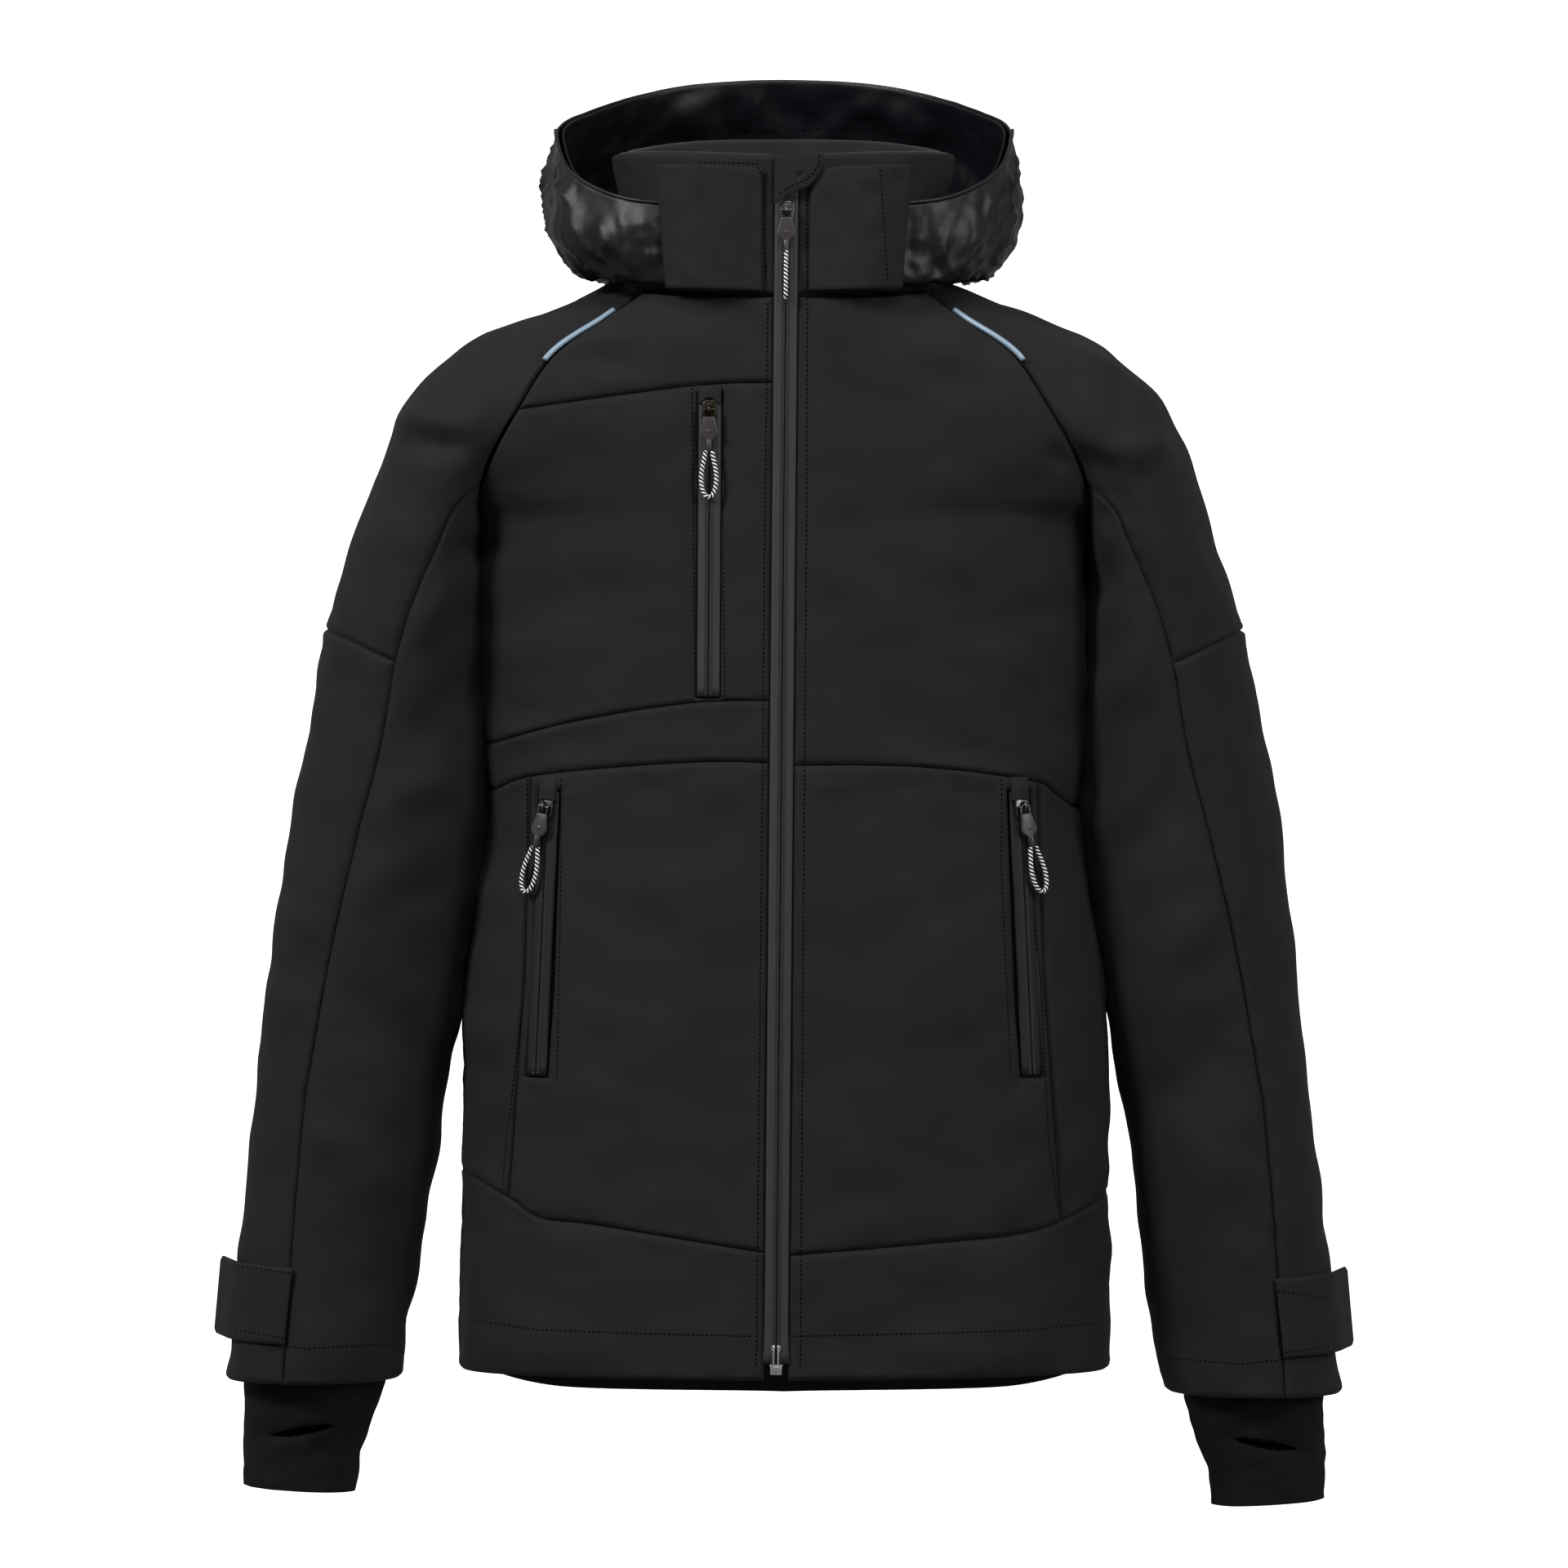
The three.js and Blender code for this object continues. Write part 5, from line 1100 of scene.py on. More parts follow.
def make_collar():
    rows = spaced(90, 4.0)
    shell = collar_piece("collar_shell", lambda s: 0 * s, lambda s: 0 * s + COLLAR_SHELL,
                         spaced(480, 4.5), rows, "softshell")
    settle_piece(shell, "collar_shell")
    inset = COLLAR_SHELL + 0.05
    fleece = collar_piece("collar_lining", lambda s: 0 * s + inset, lambda s: 0 * s + inset + COLLAR_LINING,
                          0.004 + 0.992 * spaced(480, 3.2), 0.03 + 0.985 * spaced(90, 3.2), "collar fleece",
                          sag=lambda p: ripple(p, 51, 7.0, 2) * 0.35)
    settle_piece(fleece, "collar_lining")
    start, end = share_at(ZIP_EDGE + 6), share_at(72)
    lift = lambda u: 0.6 + (FLAP_CLEARANCE - 0.6) * np.minimum(1, u * 1.6)
    for side in SIDES:
        share = start + (end - start) * spaced(60, 3.0)
        share = share if side < 0 else 1 - share[::-1]
        along_flap = lambda s: np.clip(((s if side < 0 else 1 - s) - start) / (end - start), 0, 1)
        flap = collar_piece(f"collar_flap_{WORD[side]}", lambda s: -lift(along_flap(s)) - FLAP,
                            lambda s: -lift(along_flap(s)), share, 0.01 + 0.89 * spaced(78, 3.0),
                            "softshell", rounded=1.6)
        settle_piece(flap, node_of(flap))
    make_garage()
    make_hanger_loop()


GARAGE_EDGE = [(-6, 59), (4, 60.5), (15, 61), (25, 61), (25.5, 56), (24, 50), (20.5, 44), (15.5, 39.5),
               (9, 36.5), (2, 33), (-4, 29), (-6.5, 28)]


def make_garage():
    """The soft flap that folds over the top of the zip."""
    outline = np.array(GARAGE_EDGE, float)
    rings = []
    centre = outline.mean(0)
    for share in (1.0, 0.985, 0.94, 0.85, 0.6, 0.3, 0.02):
        rings.append(centre + (outline_dense(outline) - centre) * share)
    grid = np.stack(rings)
    y = -front_depth(48.0) - FLAP - 2.4
    bulge = np.sqrt(1 - np.array([1.0, 0.97, 0.9, 0.8, 0.5, 0.2, 0.0]) ** 2)[:, None]
    front = np.stack([grid[..., 0], np.full(grid.shape[:2], y - 1.0) - bulge * 1.1, grid[..., 1]], -1)
    front[..., 1] += ripple(front, 61, 22.0) * 0.35 * bulge
    back = front.copy()
    back[..., 1] = y - 0.9 + 0.9 * bulge
    obj = slab("zip_garage", front, back, "softshell", wrap=True)
    settle_piece(obj, "zip_garage")


def outline_dense(outline, count=96):
    closed = np.concatenate([outline, outline[:1]])
    run = np.concatenate([[0], np.cumsum(np.linalg.norm(np.diff(closed, axis=0), axis=1))])
    at = np.linspace(0, run[-1], count, endpoint=False)
    return np.stack([np.interp(at, run, closed[:, k]) for k in (0, 1)], -1)


def make_hanger_loop():
    half = [(-22, 81, -17), (-21, 71.5, -8.5), (-14, 65, -2), (0, 62, 0)]
    line = spline(half + mirrored(half), np.linspace(0, 1, 49))
    tangent = np.gradient(line, axis=0)
    tangent /= np.linalg.norm(tangent, axis=1, keepdims=True)
    flat_way = np.array((0.0, 0.6, 0.8))
    across = flat_way - tangent * (tangent @ flat_way)[:, None]
    across /= np.linalg.norm(across, axis=1, keepdims=True)
    normal = np.cross(tangent, across)
    width = np.linspace(-2.5, 2.5, 7)
    flat = line[:, None, :] + across[:, None, :] * width[None, :, None]
    edge = 0.55 * np.sqrt(np.clip(1 - (width / 2.55) ** 2, 0.1, 1))[None, :, None]
    thick = normal[:, None, :] * edge
    obj = slab("hanger_loop", flat + thick, flat - thick, "binding tape")
    settle_piece(obj, "hanger_loop")


# ---- hood -----------------------------------------------------------------------


def crumpled(points, seed, wave, stretch=(1.0, 1.0, 0.45)):
    """Sharp soft creases of thin cloth, longer up and down than across."""
    field = ripple(points * np.array(stretch), seed, wave, 3)
    return 1 - 2 * np.abs(np.tanh(field * 1.6))


def hood_layer(name, inset, thick, finish, pitch_round, pitch_up, seed, depth):
    """One layer of the hood as a closed sheet that follows its surface at an inset."""
    r, u = np.meshgrid(spaced(620, pitch_round), spaced(178, pitch_up))
    base = hood_point(r, u)
    normal = normals_of(base)
    gap = edge_gap(base)
    side = np.abs(base[..., 0])
    near_collar_end = np.exp(-(((side - 84) / 16) ** 2)) * (base[..., 1] < -40)
    gathers = np.sin(side / 2.6 + ripple(base, seed + 5, 30.0) * 1.4) * near_collar_end
    creases = crumpled(base, seed, 56.0) * 2.2 + crumpled(base, seed + 1, 25.0) * 1.2
    creases = creases + ripple(base, seed + 2, 120.0) * 2.0
    soft = (creases * depth + gathers * 1.3 * depth) * np.clip(gap / 16, 0.1, 1)
    fat = np.sqrt(np.clip(gap / 1.6, 0.08, 1))
    middle = base + normal * (soft - inset - thick / 2)[..., None]
    half = normal * (thick / 2 * fat)[..., None]
    return slab(name, middle + half, middle - half, finish)


HOOD_FIXED = (0.0, 60.0, 53.0)
HOOD_MOVES = (0.0, 112.0, 99.0)


def make_hood():
    """The hood lies open behind the collar. Its crown turns up over the head."""
    outer = hood_layer("hood_shell", 0.0, HOOD_SHELL, "hood nylon", 3.6, 3.6, 71, 1.0)
    inner = hood_layer("hood_crown_lining", 4.2, 1.6, "hood nylon", 4.2, 4.2, 71, 1.0)
    bend_with_hood(outer)
    bend_with_hood(inner)
    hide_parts("hood_base")
    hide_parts("hood_crown")
    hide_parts("hood_crown_lining")
    for obj in (outer, inner):
        declare_sheet(obj, flat=(0.18, 0.62))


def bend_with_hood(obj):
    start, end = (tuple(to_scene(np.array(p))) for p in (HOOD_FIXED, HOOD_MOVES))
    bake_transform(obj)


# ---- zips -----------------------------------------------------------------------


class ZipLine:
    """Where a zip runs: z up along it, y inwards, x across, from its top end."""

    def __init__(self, top, bottom, outward):
        top, bottom, outward = (np.array(v, float) for v in (top, bottom, outward))
        self.top = top
        self.length = np.linalg.norm(top - bottom)
        self.up = (top - bottom) / self.length
        inward = -(outward - self.up * (outward @ self.up))
        self.inward = inward / np.linalg.norm(inward)
        self.across = np.cross(self.inward, self.up)

    def place(self, points):
        p = np.asarray(points, float)
        return self.top + p[..., :1] * self.across + p[..., 1:2] * self.inward + p[..., 2:] * self.up

    def matrix(self, x=0.0, y=0.0, z=0.0, turn=0.0):
        """From a metre-sized local mesh to the scene, moved and turned about y first."""
        axes = np.stack([self.across, self.inward, self.up], axis=1)
        base = Matrix(axes.tolist()).to_4x4()
        base.translation = Vector(to_scene(self.place((x, y, z))))
        return base @ Matrix.Rotation(turn, 4, "Y")


def surface_zip(x_top, z_top, x_bottom, z_bottom):
    def at(x, z):
        return body_point(FRONT, q_at(FRONT, x, z), z)

    z_mid = (z_top + z_bottom) / 2
    q = q_at(FRONT, (x_top + x_bottom) / 2, z_mid)
    across = body_point(FRONT, q + 0.03, z_mid) - body_point(FRONT, q - 0.03, z_mid)
    outward = np.cross(across, (0, 0, 1))
    outward /= np.linalg.norm(outward)
    return ZipLine(at(x_top, z_top) - 0.4 * outward, at(x_bottom, z_bottom) - 0.4 * outward, outward)


def zip_lines():
    lines = {"chest": surface_zip(-47.5, -94, -48.5, -287)}
    for side in SIDES:
        x = lambda z: float(pocket_seam(side)(z)) - side * 13
        lines[f"{WORD[side]}_pocket"] = surface_zip(x(-348), -348, x(-530), -530)
    top, bottom = ((zip_x(z), -front_depth(z), z) for z in (FRONT_ZIP_TOP_Z, FRONT_ZIP_BOTTOM_Z))
    lines["front"] = ZipLine(top, bottom, (0, -1, 0))
    return lines


ZIPS = zip_lines()


def blocks(lows, highs, taper=0.0):
    """Points and faces of many boxes, narrowed towards -y by taper."""
    lows, highs = np.asarray(lows, float), np.asarray(highs, float)
    corners = []
    for x in (0, 1):
        for y in (0, 1):
            for z in (0, 1):
                p = np.where(np.array((x, y, z)), highs, lows)
                if not y:
                    p = p + (np.array((1, 0, 1)) - 2 * np.array((x, 0, z))) * taper
                corners.append(p)
    points = np.stack(corners, 1).reshape(-1, 3)
    quads = np.array([(0, 1, 3, 2), (4, 6, 7, 5), (0, 4, 5, 1), (2, 3, 7, 6), (0, 2, 6, 4), (1, 5, 7, 3)])
    faces = (quads[None] + np.arange(len(lows))[:, None, None] * 8).reshape(-1, 4)
    return points, faces


COIL_PITCH = 1.25


def zip_tape(name, line, sides, node, reach=7.3, flare=0.0, finish="zip tape"):
    """The tapes of a zip, each with a fine row of coil ribs beside the slit."""
    rows = np.linspace(-line.length, 0, max(8, int(line.length / 6)))
    widths = np.array((0.28, 0.55, 2.9, 3.3, 5.0, reach - 0.5, reach))
    depths = np.array((-0.3, -0.62, -0.62, -0.42, -0.3, 0.1, 0.9))
    for side in sides:
        x = widths[None, :] + flare * np.exp((-line.length - rows) / 9.0)[:, None] * (widths / reach)[None, :]
        y = np.broadcast_to(depths[None, :], x.shape)
        z = np.broadcast_to(rows[:, None], x.shape)
        front = np.stack([side * x, y, z], -1)
        back = np.stack([side * x, y + 0.7, z], -1)
        label = name if len(sides) == 1 else f"{name}_{WORD[side]}"
        tape = slab(label, line.place(front), line.place(back), finish)
        settle_piece(tape, node if side == sides[0] else None)
        heights = np.arange(-line.length + 2.0, -1.0, COIL_PITCH)
        low_x, high_x = sorted((side * 0.36, side * 2.75))
        lows = np.stack([np.full(len(heights), low_x), np.full(len(heights), -1.05), heights - 0.38], -1)
        highs = np.stack([np.full(len(heights), high_x), np.full(len(heights), -0.5), heights + 0.38], -1)
        points, faces = blocks(lows, highs, 0.16)
        slant = np.abs(points[:, 0]) * 0.12
        points[:, 2] -= slant
        coil = mesh_object(f"{label}_coil", to_scene(line.place(points)), faces, "zip coil", smooth=False)
        settle_piece(coil, None)


def make_zip_cap(name, line, top, bottom, half, height, arch):
    """A small cap of shell fabric sewn over the top end of a zip, open below for the slider."""
    x, v = np.meshgrid(np.linspace(-half, half, 23), np.linspace(0, 1, 15))
    low = bottom + arch * np.clip(1 - (x / (half * 0.72)) ** 2, 0, 1)
    z = top + (low - top) * v
    rise = np.sqrt(np.clip(1 - (x / half) ** 2, 0, 1))
    front = -0.9 - (height - 0.9) * rise * np.clip(v * 2.2, 0, 1) ** 0.7
    outer = np.stack([x, front, z], -1)
    obj = slab(name, line.place(outer), line.place(outer + np.array((0, 0.8, 0))), "softshell")
    settle_piece(obj, None)
    declare_sheet(obj)


def make_zips():
    make_zip_cap("chest_zip_cap", ZIPS["chest"], 6.0, -5.5, 7.4, 2.4, 3.6)
    for side in SIDES:
        make_zip_cap(f"{WORD[side]}_pocket_cap", ZIPS[f"{WORD[side]}_pocket"], 9.5, -6.0, 6.4, 4.4, 0.8)
    zip_tape("chest_zip", ZIPS["chest"], SIDES, "chest_zip")
    for side in SIDES:
        zip_tape(f"{WORD[side]}_pocket_zip", ZIPS[f"{WORD[side]}_pocket"], SIDES, f"{WORD[side]}_pocket_zip",
                 finish="pocket tape")
        zip_tape(f"front_zip_{WORD[side]}", ZIPS["front"], (side,), f"front_zip_{WORD[side]}", reach=7.6,
                 flare=1.2)
    make_zip_end()


# ---- hard pieces ----------------------------------------------------------------


def active():
    return bpy.context.view_layer.objects.active


def deselect():
    if active() and active().mode != "OBJECT":
        bpy.ops.object.mode_set(mode="OBJECT")
    bpy.ops.object.select_all(action="DESELECT")


def bevel(obj, width, segments=2):
    modifier = obj.modifiers.new("Bevel", "BEVEL")
    modifier.width = width * MM
    modifier.segments = segments
    modifier.limit_method = "ANGLE"
    bpy.context.view_layer.objects.active = obj
    bpy.ops.object.modifier_apply(modifier="Bevel")


def hard_box(size, at, edge=0.3):
    deselect()
    bpy.ops.mesh.primitive_cube_add(size=1, location=[v * MM for v in at])
    obj = active()
    obj.scale = [v * MM for v in size]
    bpy.ops.object.transform_apply(location=True, rotation=True, scale=True)
    bevel(obj, edge)
    return obj


def hard_rod(radius, length, at, axis="X", sides=20, edge=0.2):
    deselect()
    turn = {"X": (0, math.pi / 2, 0), "Y": (math.pi / 2, 0, 0), "Z": (0, 0, 0)}[axis]
    bpy.ops.mesh.primitive_cylinder_add(vertices=sides, radius=radius * MM, depth=length * MM, rotation=turn,
                                        location=[v * MM for v in at])
    obj = active()
    bpy.ops.object.transform_apply(location=True, rotation=True, scale=True)
    bevel(obj, edge)
    return obj


def hard_ring(major, minor, at):
    """A ring that stands across the zip, round the x axis."""
    deselect()
    bpy.ops.mesh.primitive_torus_add(major_radius=major * MM, minor_radius=minor * MM, major_segments=28,
                                     minor_segments=10, rotation=(0, math.pi / 2, 0),
                                     location=[v * MM for v in at])
    obj = active()
    bpy.ops.object.transform_apply(location=True, rotation=True, scale=True)
    return obj


def hard_plate(outline, thickness, at_y=0.0, edge=0.5):
    """A plate of the given (x, z) outline, its edges rounded."""
    deselect()
    bpy.ops.mesh.primitive_circle_add(vertices=len(outline), radius=MM, fill_type="NGON")
    obj = active()
    for vertex, (x, z) in zip(obj.data.vertices, outline):
        vertex.co = (x * MM, (at_y + thickness / 2) * MM, z * MM)
    bpy.ops.object.mode_set(mode="EDIT")
    bpy.ops.mesh.select_all(action="SELECT")
    bpy.ops.mesh.extrude_region_move(TRANSFORM_OT_translate={"value": (0, -thickness * MM, 0)})
    bpy.ops.mesh.select_all(action="SELECT")
    bpy.ops.mesh.normals_make_consistent(inside=False)
    bpy.ops.object.mode_set(mode="OBJECT")
    bevel(obj, edge, 3)
    return obj


def join(name, parts, finish, matrix):
    """Joins the parts of one hard piece and moves them into place, with the object left at the origin."""
    deselect()
    for part in parts:
        part.select_set(True)
    bpy.context.view_layer.objects.active = parts[0]
    if len(parts) > 1:
        bpy.ops.object.join()
    obj = active()
    obj.name = obj.data.name = name + LOOK
    obj.data.materials.clear()
    obj.data.materials.append(MATERIALS[finish])
    bpy.ops.object.mode_set(mode="EDIT")
    bpy.ops.mesh.select_all(action="SELECT")
    bpy.ops.mesh.normals_make_consistent(inside=False)
    bpy.ops.object.mode_set(mode="OBJECT")
    obj.data.transform(matrix)
    obj.data.update()
    bpy.ops.object.shade_smooth_by_angle(angle=math.radians(38))
    PIECES[name] = obj
    return obj


def make_zip_end():
    """The box and pins at the bottom of the front zip."""
    line = ZIPS["front"]
    low = -line.length
    at = line.matrix()
    parts = [hard_box((7.6, 4.2, 6.6), (0, 0, low - 3.9), 0.7),
             hard_box((4.2, 1.0, 3.4), (0, -2.3, low - 3.8), 0.35),
             hard_box((8.2, 3.4, 1.0), (0, 0, low - 1.3), 0.3)]
    box = join("front_zip_box", parts, "nickel", at)
    settle_piece(box, "front_zip_box")
    pins = [hard_rod(0.75, 12.0, (x, -0.9, low + 5.5), "Z", 14, 0.3) for x in (-1.7, 1.4)]
    pins += [hard_box((2.3, 1.6, 3.0), (x, -0.8, low + 9.5), 0.35) for x in (-1.9, 1.7)]
    settle_piece(join("front_zip_pins", pins, "nickel", at), None)


PULL_PLATE = [(-3.9, -4.4), (-4.15, -6.2), (-4.5, -9.0), (-5.3, -12.0), (-5.8, -14.2), (-5.5, -16.2),
              (-4.3, -17.8), (-2.7, -18.9), (-2.1, -20.5), (-1.95, -23.0), (-1.95, -26.4)]


def make_pull(key, prefix, metal, tilt, slider_body, pull_body):
    """Slider, fork and rubber puller of one zip, on its two bodies."""
    line = ZIPS[key]
    at = line.matrix(z=-SLIDER_DROP)
    crown = [(-2.6, 6.5), (2.6, 6.5), (4.6, 4.6), (4.9, 2.0), (4.5, -3.0), (3.9, -6.5), (-3.9, -6.5),
             (-4.5, -3.0), (-4.9, 2.0), (-4.6, 4.6)]
    slider = [hard_plate(crown, 1.5, -2.45, 0.55), hard_plate(crown, 1.5, 2.45, 0.55),
              hard_box((0.55, 3.6, 4.0), (0, 0, 3.2), 0.1),
              hard_box((1.0, 1.2, 10.0), (-4.2, -1.8, -0.6), 0.3),
              hard_box((1.0, 1.2, 10.0), (4.2, -1.8, -0.6), 0.3),
              hard_ring(2.8, 0.85, (0, HINGE_Y, 0)), hard_box((2.1, 0.9, 8.6), (0, -3.3, 0), 0.4)]
    obj = join(f"{prefix}_slider", slider, metal, at)
    settle_piece(obj, f"{prefix}_slider", slider_body)
    swing = line.matrix(y=HINGE_Y, z=-SLIDER_DROP, turn=tilt)
    fork = [hard_rod(0.95, 7.4, (0, 0, 0), "X")]
    for x in (-3.1, 3.1):
        fork += [hard_box((1.5, 1.9, 7.4), (x, 0, -2.4), 0.5), hard_rod(1.35, 1.5, (x, 0, 0), "X")]
    obj = join(f"{prefix}_puller_fork", fork, metal, swing)
    settle_piece(obj, None, pull_body)
    outline = PULL_PLATE + [(-x, z) for x, z in PULL_PLATE[::-1]]
    rubber = [hard_plate(outline, 2.3, 0.0, 0.75), hard_rod(2.0, 7.6, (0, 0, -22.9), "Z", 20, 0.5),
              hard_rod(1.6, 2.5, (0, -0.1, -14.0), "Y", 24, 0.5)]
    obj = join(f"{prefix}_puller", rubber, "puller rubber", swing)
    settle_piece(obj, f"{prefix}_puller", pull_body)


LOOP_HALF = [(0.45, 0), (0.6, -4), (0.95, -12), (1.05, -19), (0.85, -25), (0.45, -28.6)]


def loop_line(half_width, edge_on, samples=72):
    """Centreline of a pull cord in its puller's own axes: down one side and back up the other."""
    down = [(-x * half_width, z) for x, z in LOOP_HALF]
    points = down + [(0.0, -CORD_LOOP + CORD_DIAMETER / 2)] + [(-x, z) for x, z in down[::-1]]
    drop = PULL_LENGTH + 0.3
    points = [((0.0, x, z - drop) if edge_on else (x, 0.0, z - drop)) for x, z in points]
    return spline(points, np.linspace(0, 1, samples))


def tube(name, line, radius, finish, sides=12):
    """A round tube along a line in metres, with turns and metres as its UV."""
    tangent = np.gradient(line, axis=0)
    tangent /= np.linalg.norm(tangent, axis=1, keepdims=True)
    side = np.zeros_like(tangent)
    start = np.cross(tangent[0], (0.0, 1.0, 0.0))
    if np.linalg.norm(start) < 0.1:
        start = np.cross(tangent[0], (1.0, 0.0, 0.0))
    side[0] = start / np.linalg.norm(start)
    for k in range(1, len(line)):
        flat = side[k - 1] - tangent[k] * (side[k - 1] @ tangent[k])
        side[k] = flat / np.linalg.norm(flat)
    other = np.cross(tangent, side)
    angle = np.linspace(0, 2 * np.pi, sides + 1)
    ring = side[:, None] * np.cos(angle)[None, :, None] + other[:, None] * np.sin(angle)[None, :, None]
    points = line[:, None] + ring * radius
    run = np.concatenate([[0], np.cumsum(np.linalg.norm(np.diff(line, axis=0), axis=1))])
    mesh = bpy.data.meshes.new(name + LOOK)
    work = bmesh.new()
    uv = work.loops.layers.uv.new("UVMap")
    rows = [[work.verts.new(points[j, i]) for i in range(sides)] for j in range(len(line))]
    for j in range(len(line) - 1):
        for i in range(sides):
            corners = [(j, i), (j, i + 1), (j + 1, i + 1), (j + 1, i)]
            face = work.faces.new([rows[a][b % sides] for a, b in corners])
            for corner, (a, b) in zip(face.loops, corners):
                corner[uv].uv = (b / sides, run[a])
    work.faces.new(rows[0][::-1])
    work.faces.new(rows[-1])
    bmesh.ops.recalc_face_normals(work, faces=work.faces)
    work.to_mesh(mesh)
    work.free()
    mesh.shade_smooth()
    obj = bpy.data.objects.new(name + LOOK, mesh)
    bpy.context.scene.collection.objects.link(obj)
    mesh.materials.append(MATERIALS[finish])
    PIECES[name] = obj
    return obj


def make_cord(key, prefix, half_width, tilt, body, edge_on=False):
    line = loop_line(half_width, edge_on) * MM
    place = np.array(ZIPS[key].matrix(y=HINGE_Y, z=-SLIDER_DROP, turn=tilt))
    line = line @ place[:3, :3].T + place[:3, 3]
    obj = tube(f"{prefix}_pull_cord", line, CORD_DIAMETER / 2 * MM, "cord braid")
    settle_piece(obj, f"{prefix}_pull_cord", body)
    tuple(line[0])
    [tuple(p) for p in line]


PULLS = (
    ("front", "front", "gunmetal", 0.0, "front_slider", "front_pull", 2.2, True),
    ("chest", "chest", "antique brass", 0.0, "chest_slider", "chest_pull", 4.6, False),
    ("right_pocket", "right_pocket", "gunmetal", 0.2, "right_pocket_slider", "right_pocket_pull", 4.6, False),
    ("left_pocket", "left_pocket", "gunmetal", -0.2, "left_pocket_slider", "left_pocket_pull", 4.6, False),
)


def make_pulls():
    for key, prefix, metal, tilt, slider_body, pull_body, _, _ in PULLS:
        make_pull(key, prefix, metal, tilt, slider_body, pull_body)


def make_cords():
    for key, prefix, _, tilt, _, pull_body, half_width, edge_on in PULLS:
        make_cord(key, prefix, half_width, tilt, pull_body, edge_on)


# ---- piping and stitching -------------------------------------------------------


def cloth_tree(names):
    """A search tree over several pieces, for laying small things on the cloth."""
    points, faces = [], []
    for name in names:
        mesh = PIECES[name].data
        base = len(points)
        points += [v.co.copy() for v in mesh.vertices]
        faces += [[base + i for i in p.vertices] for p in mesh.polygons]
    return BVHTree.FromPolygons(points, faces)


def on_cloth(tree, line, step=1.0):
    """Places a line of (x, z) millimetres on the front plane on the cloth, as seen from the camera."""
    line = np.asarray(line, float)
    run = np.concatenate([[0], np.cumsum(np.linalg.norm(np.diff(line, axis=0), axis=1))])
    at = np.arange(0, run[-1], step)
    x, z = (np.interp(at, run, line[:, k]) for k in (0, 1))
    points, normals = [], []
    for px, pz in zip(x, z):
        target = Vector((px * MM, FRONT_PLANE_Y, pz * MM))
        direction = (target - CAMERA).normalized()
        hit, normal, _, _ = tree.ray_cast(CAMERA, direction)
        if hit is not None:
            points.append(hit)
            normals.append(normal)
    return np.array(points), np.array(normals)


STITCH = np.array([(0, -1, 0), (0.85, -0.55, 0), (0, -0.55, 0.8), (-0.85, -0.55, 0), (0, -0.55, -0.8),
                   (0.85, 0.55, 0), (0, 0.55, 0.8), (-0.85, 0.55, 0), (0, 0.55, -0.8), (0, 1, 0)])
STITCH_FACES = np.array([(0, 2, 1), (0, 3, 2), (0, 4, 3), (0, 1, 4), (1, 2, 5), (2, 6, 5), (2, 3, 6),
                         (3, 7, 6), (3, 4, 7), (4, 8, 7), (4, 1, 8), (1, 5, 8), (9, 5, 6), (9, 6, 7),
                         (9, 7, 8), (9, 8, 5)])


def stitch_rows(name, tree, lines, sizes, body="root"):
    """Rows of separate stitches along lines seen from the front."""
    points, faces = [], []
    step = 0.5
    stride = max(1, int(round(sizes.stitch_pitch / MM / step)))
    for line in lines:
        path, normal = on_cloth(tree, line, step)
        if len(path) < stride * 2:
            continue
        for k in range(stride // 2, len(path) - stride // 2, stride):
            ahead = path[min(k + 3, len(path) - 1)] - path[max(k - 3, 0)]
            if np.linalg.norm(ahead) > 0.012:
                continue
            ahead /= np.linalg.norm(ahead)
            up = normal[k] - ahead * (normal[k] @ ahead)
            up /= np.linalg.norm(up)
            across = np.cross(ahead, up)
            half = np.array((0.6, 0.0, 0.55)) * MM
            local = STITCH[:, :1] * half[0] * across + STITCH[:, 1:2] * (sizes.stitch_length / 2) * ahead
            local = local + STITCH[:, 2:] * half[2] * up
            faces.append(STITCH_FACES + len(points) * len(STITCH))
            points.append(path[k] + local)
    # The stitches take the near-black thread finish, which is painted shade.
    obj = mesh_object(name, np.concatenate(points), np.concatenate(faces), "sewing thread")
    if body:
        settle_piece(obj, None, body)
    return obj


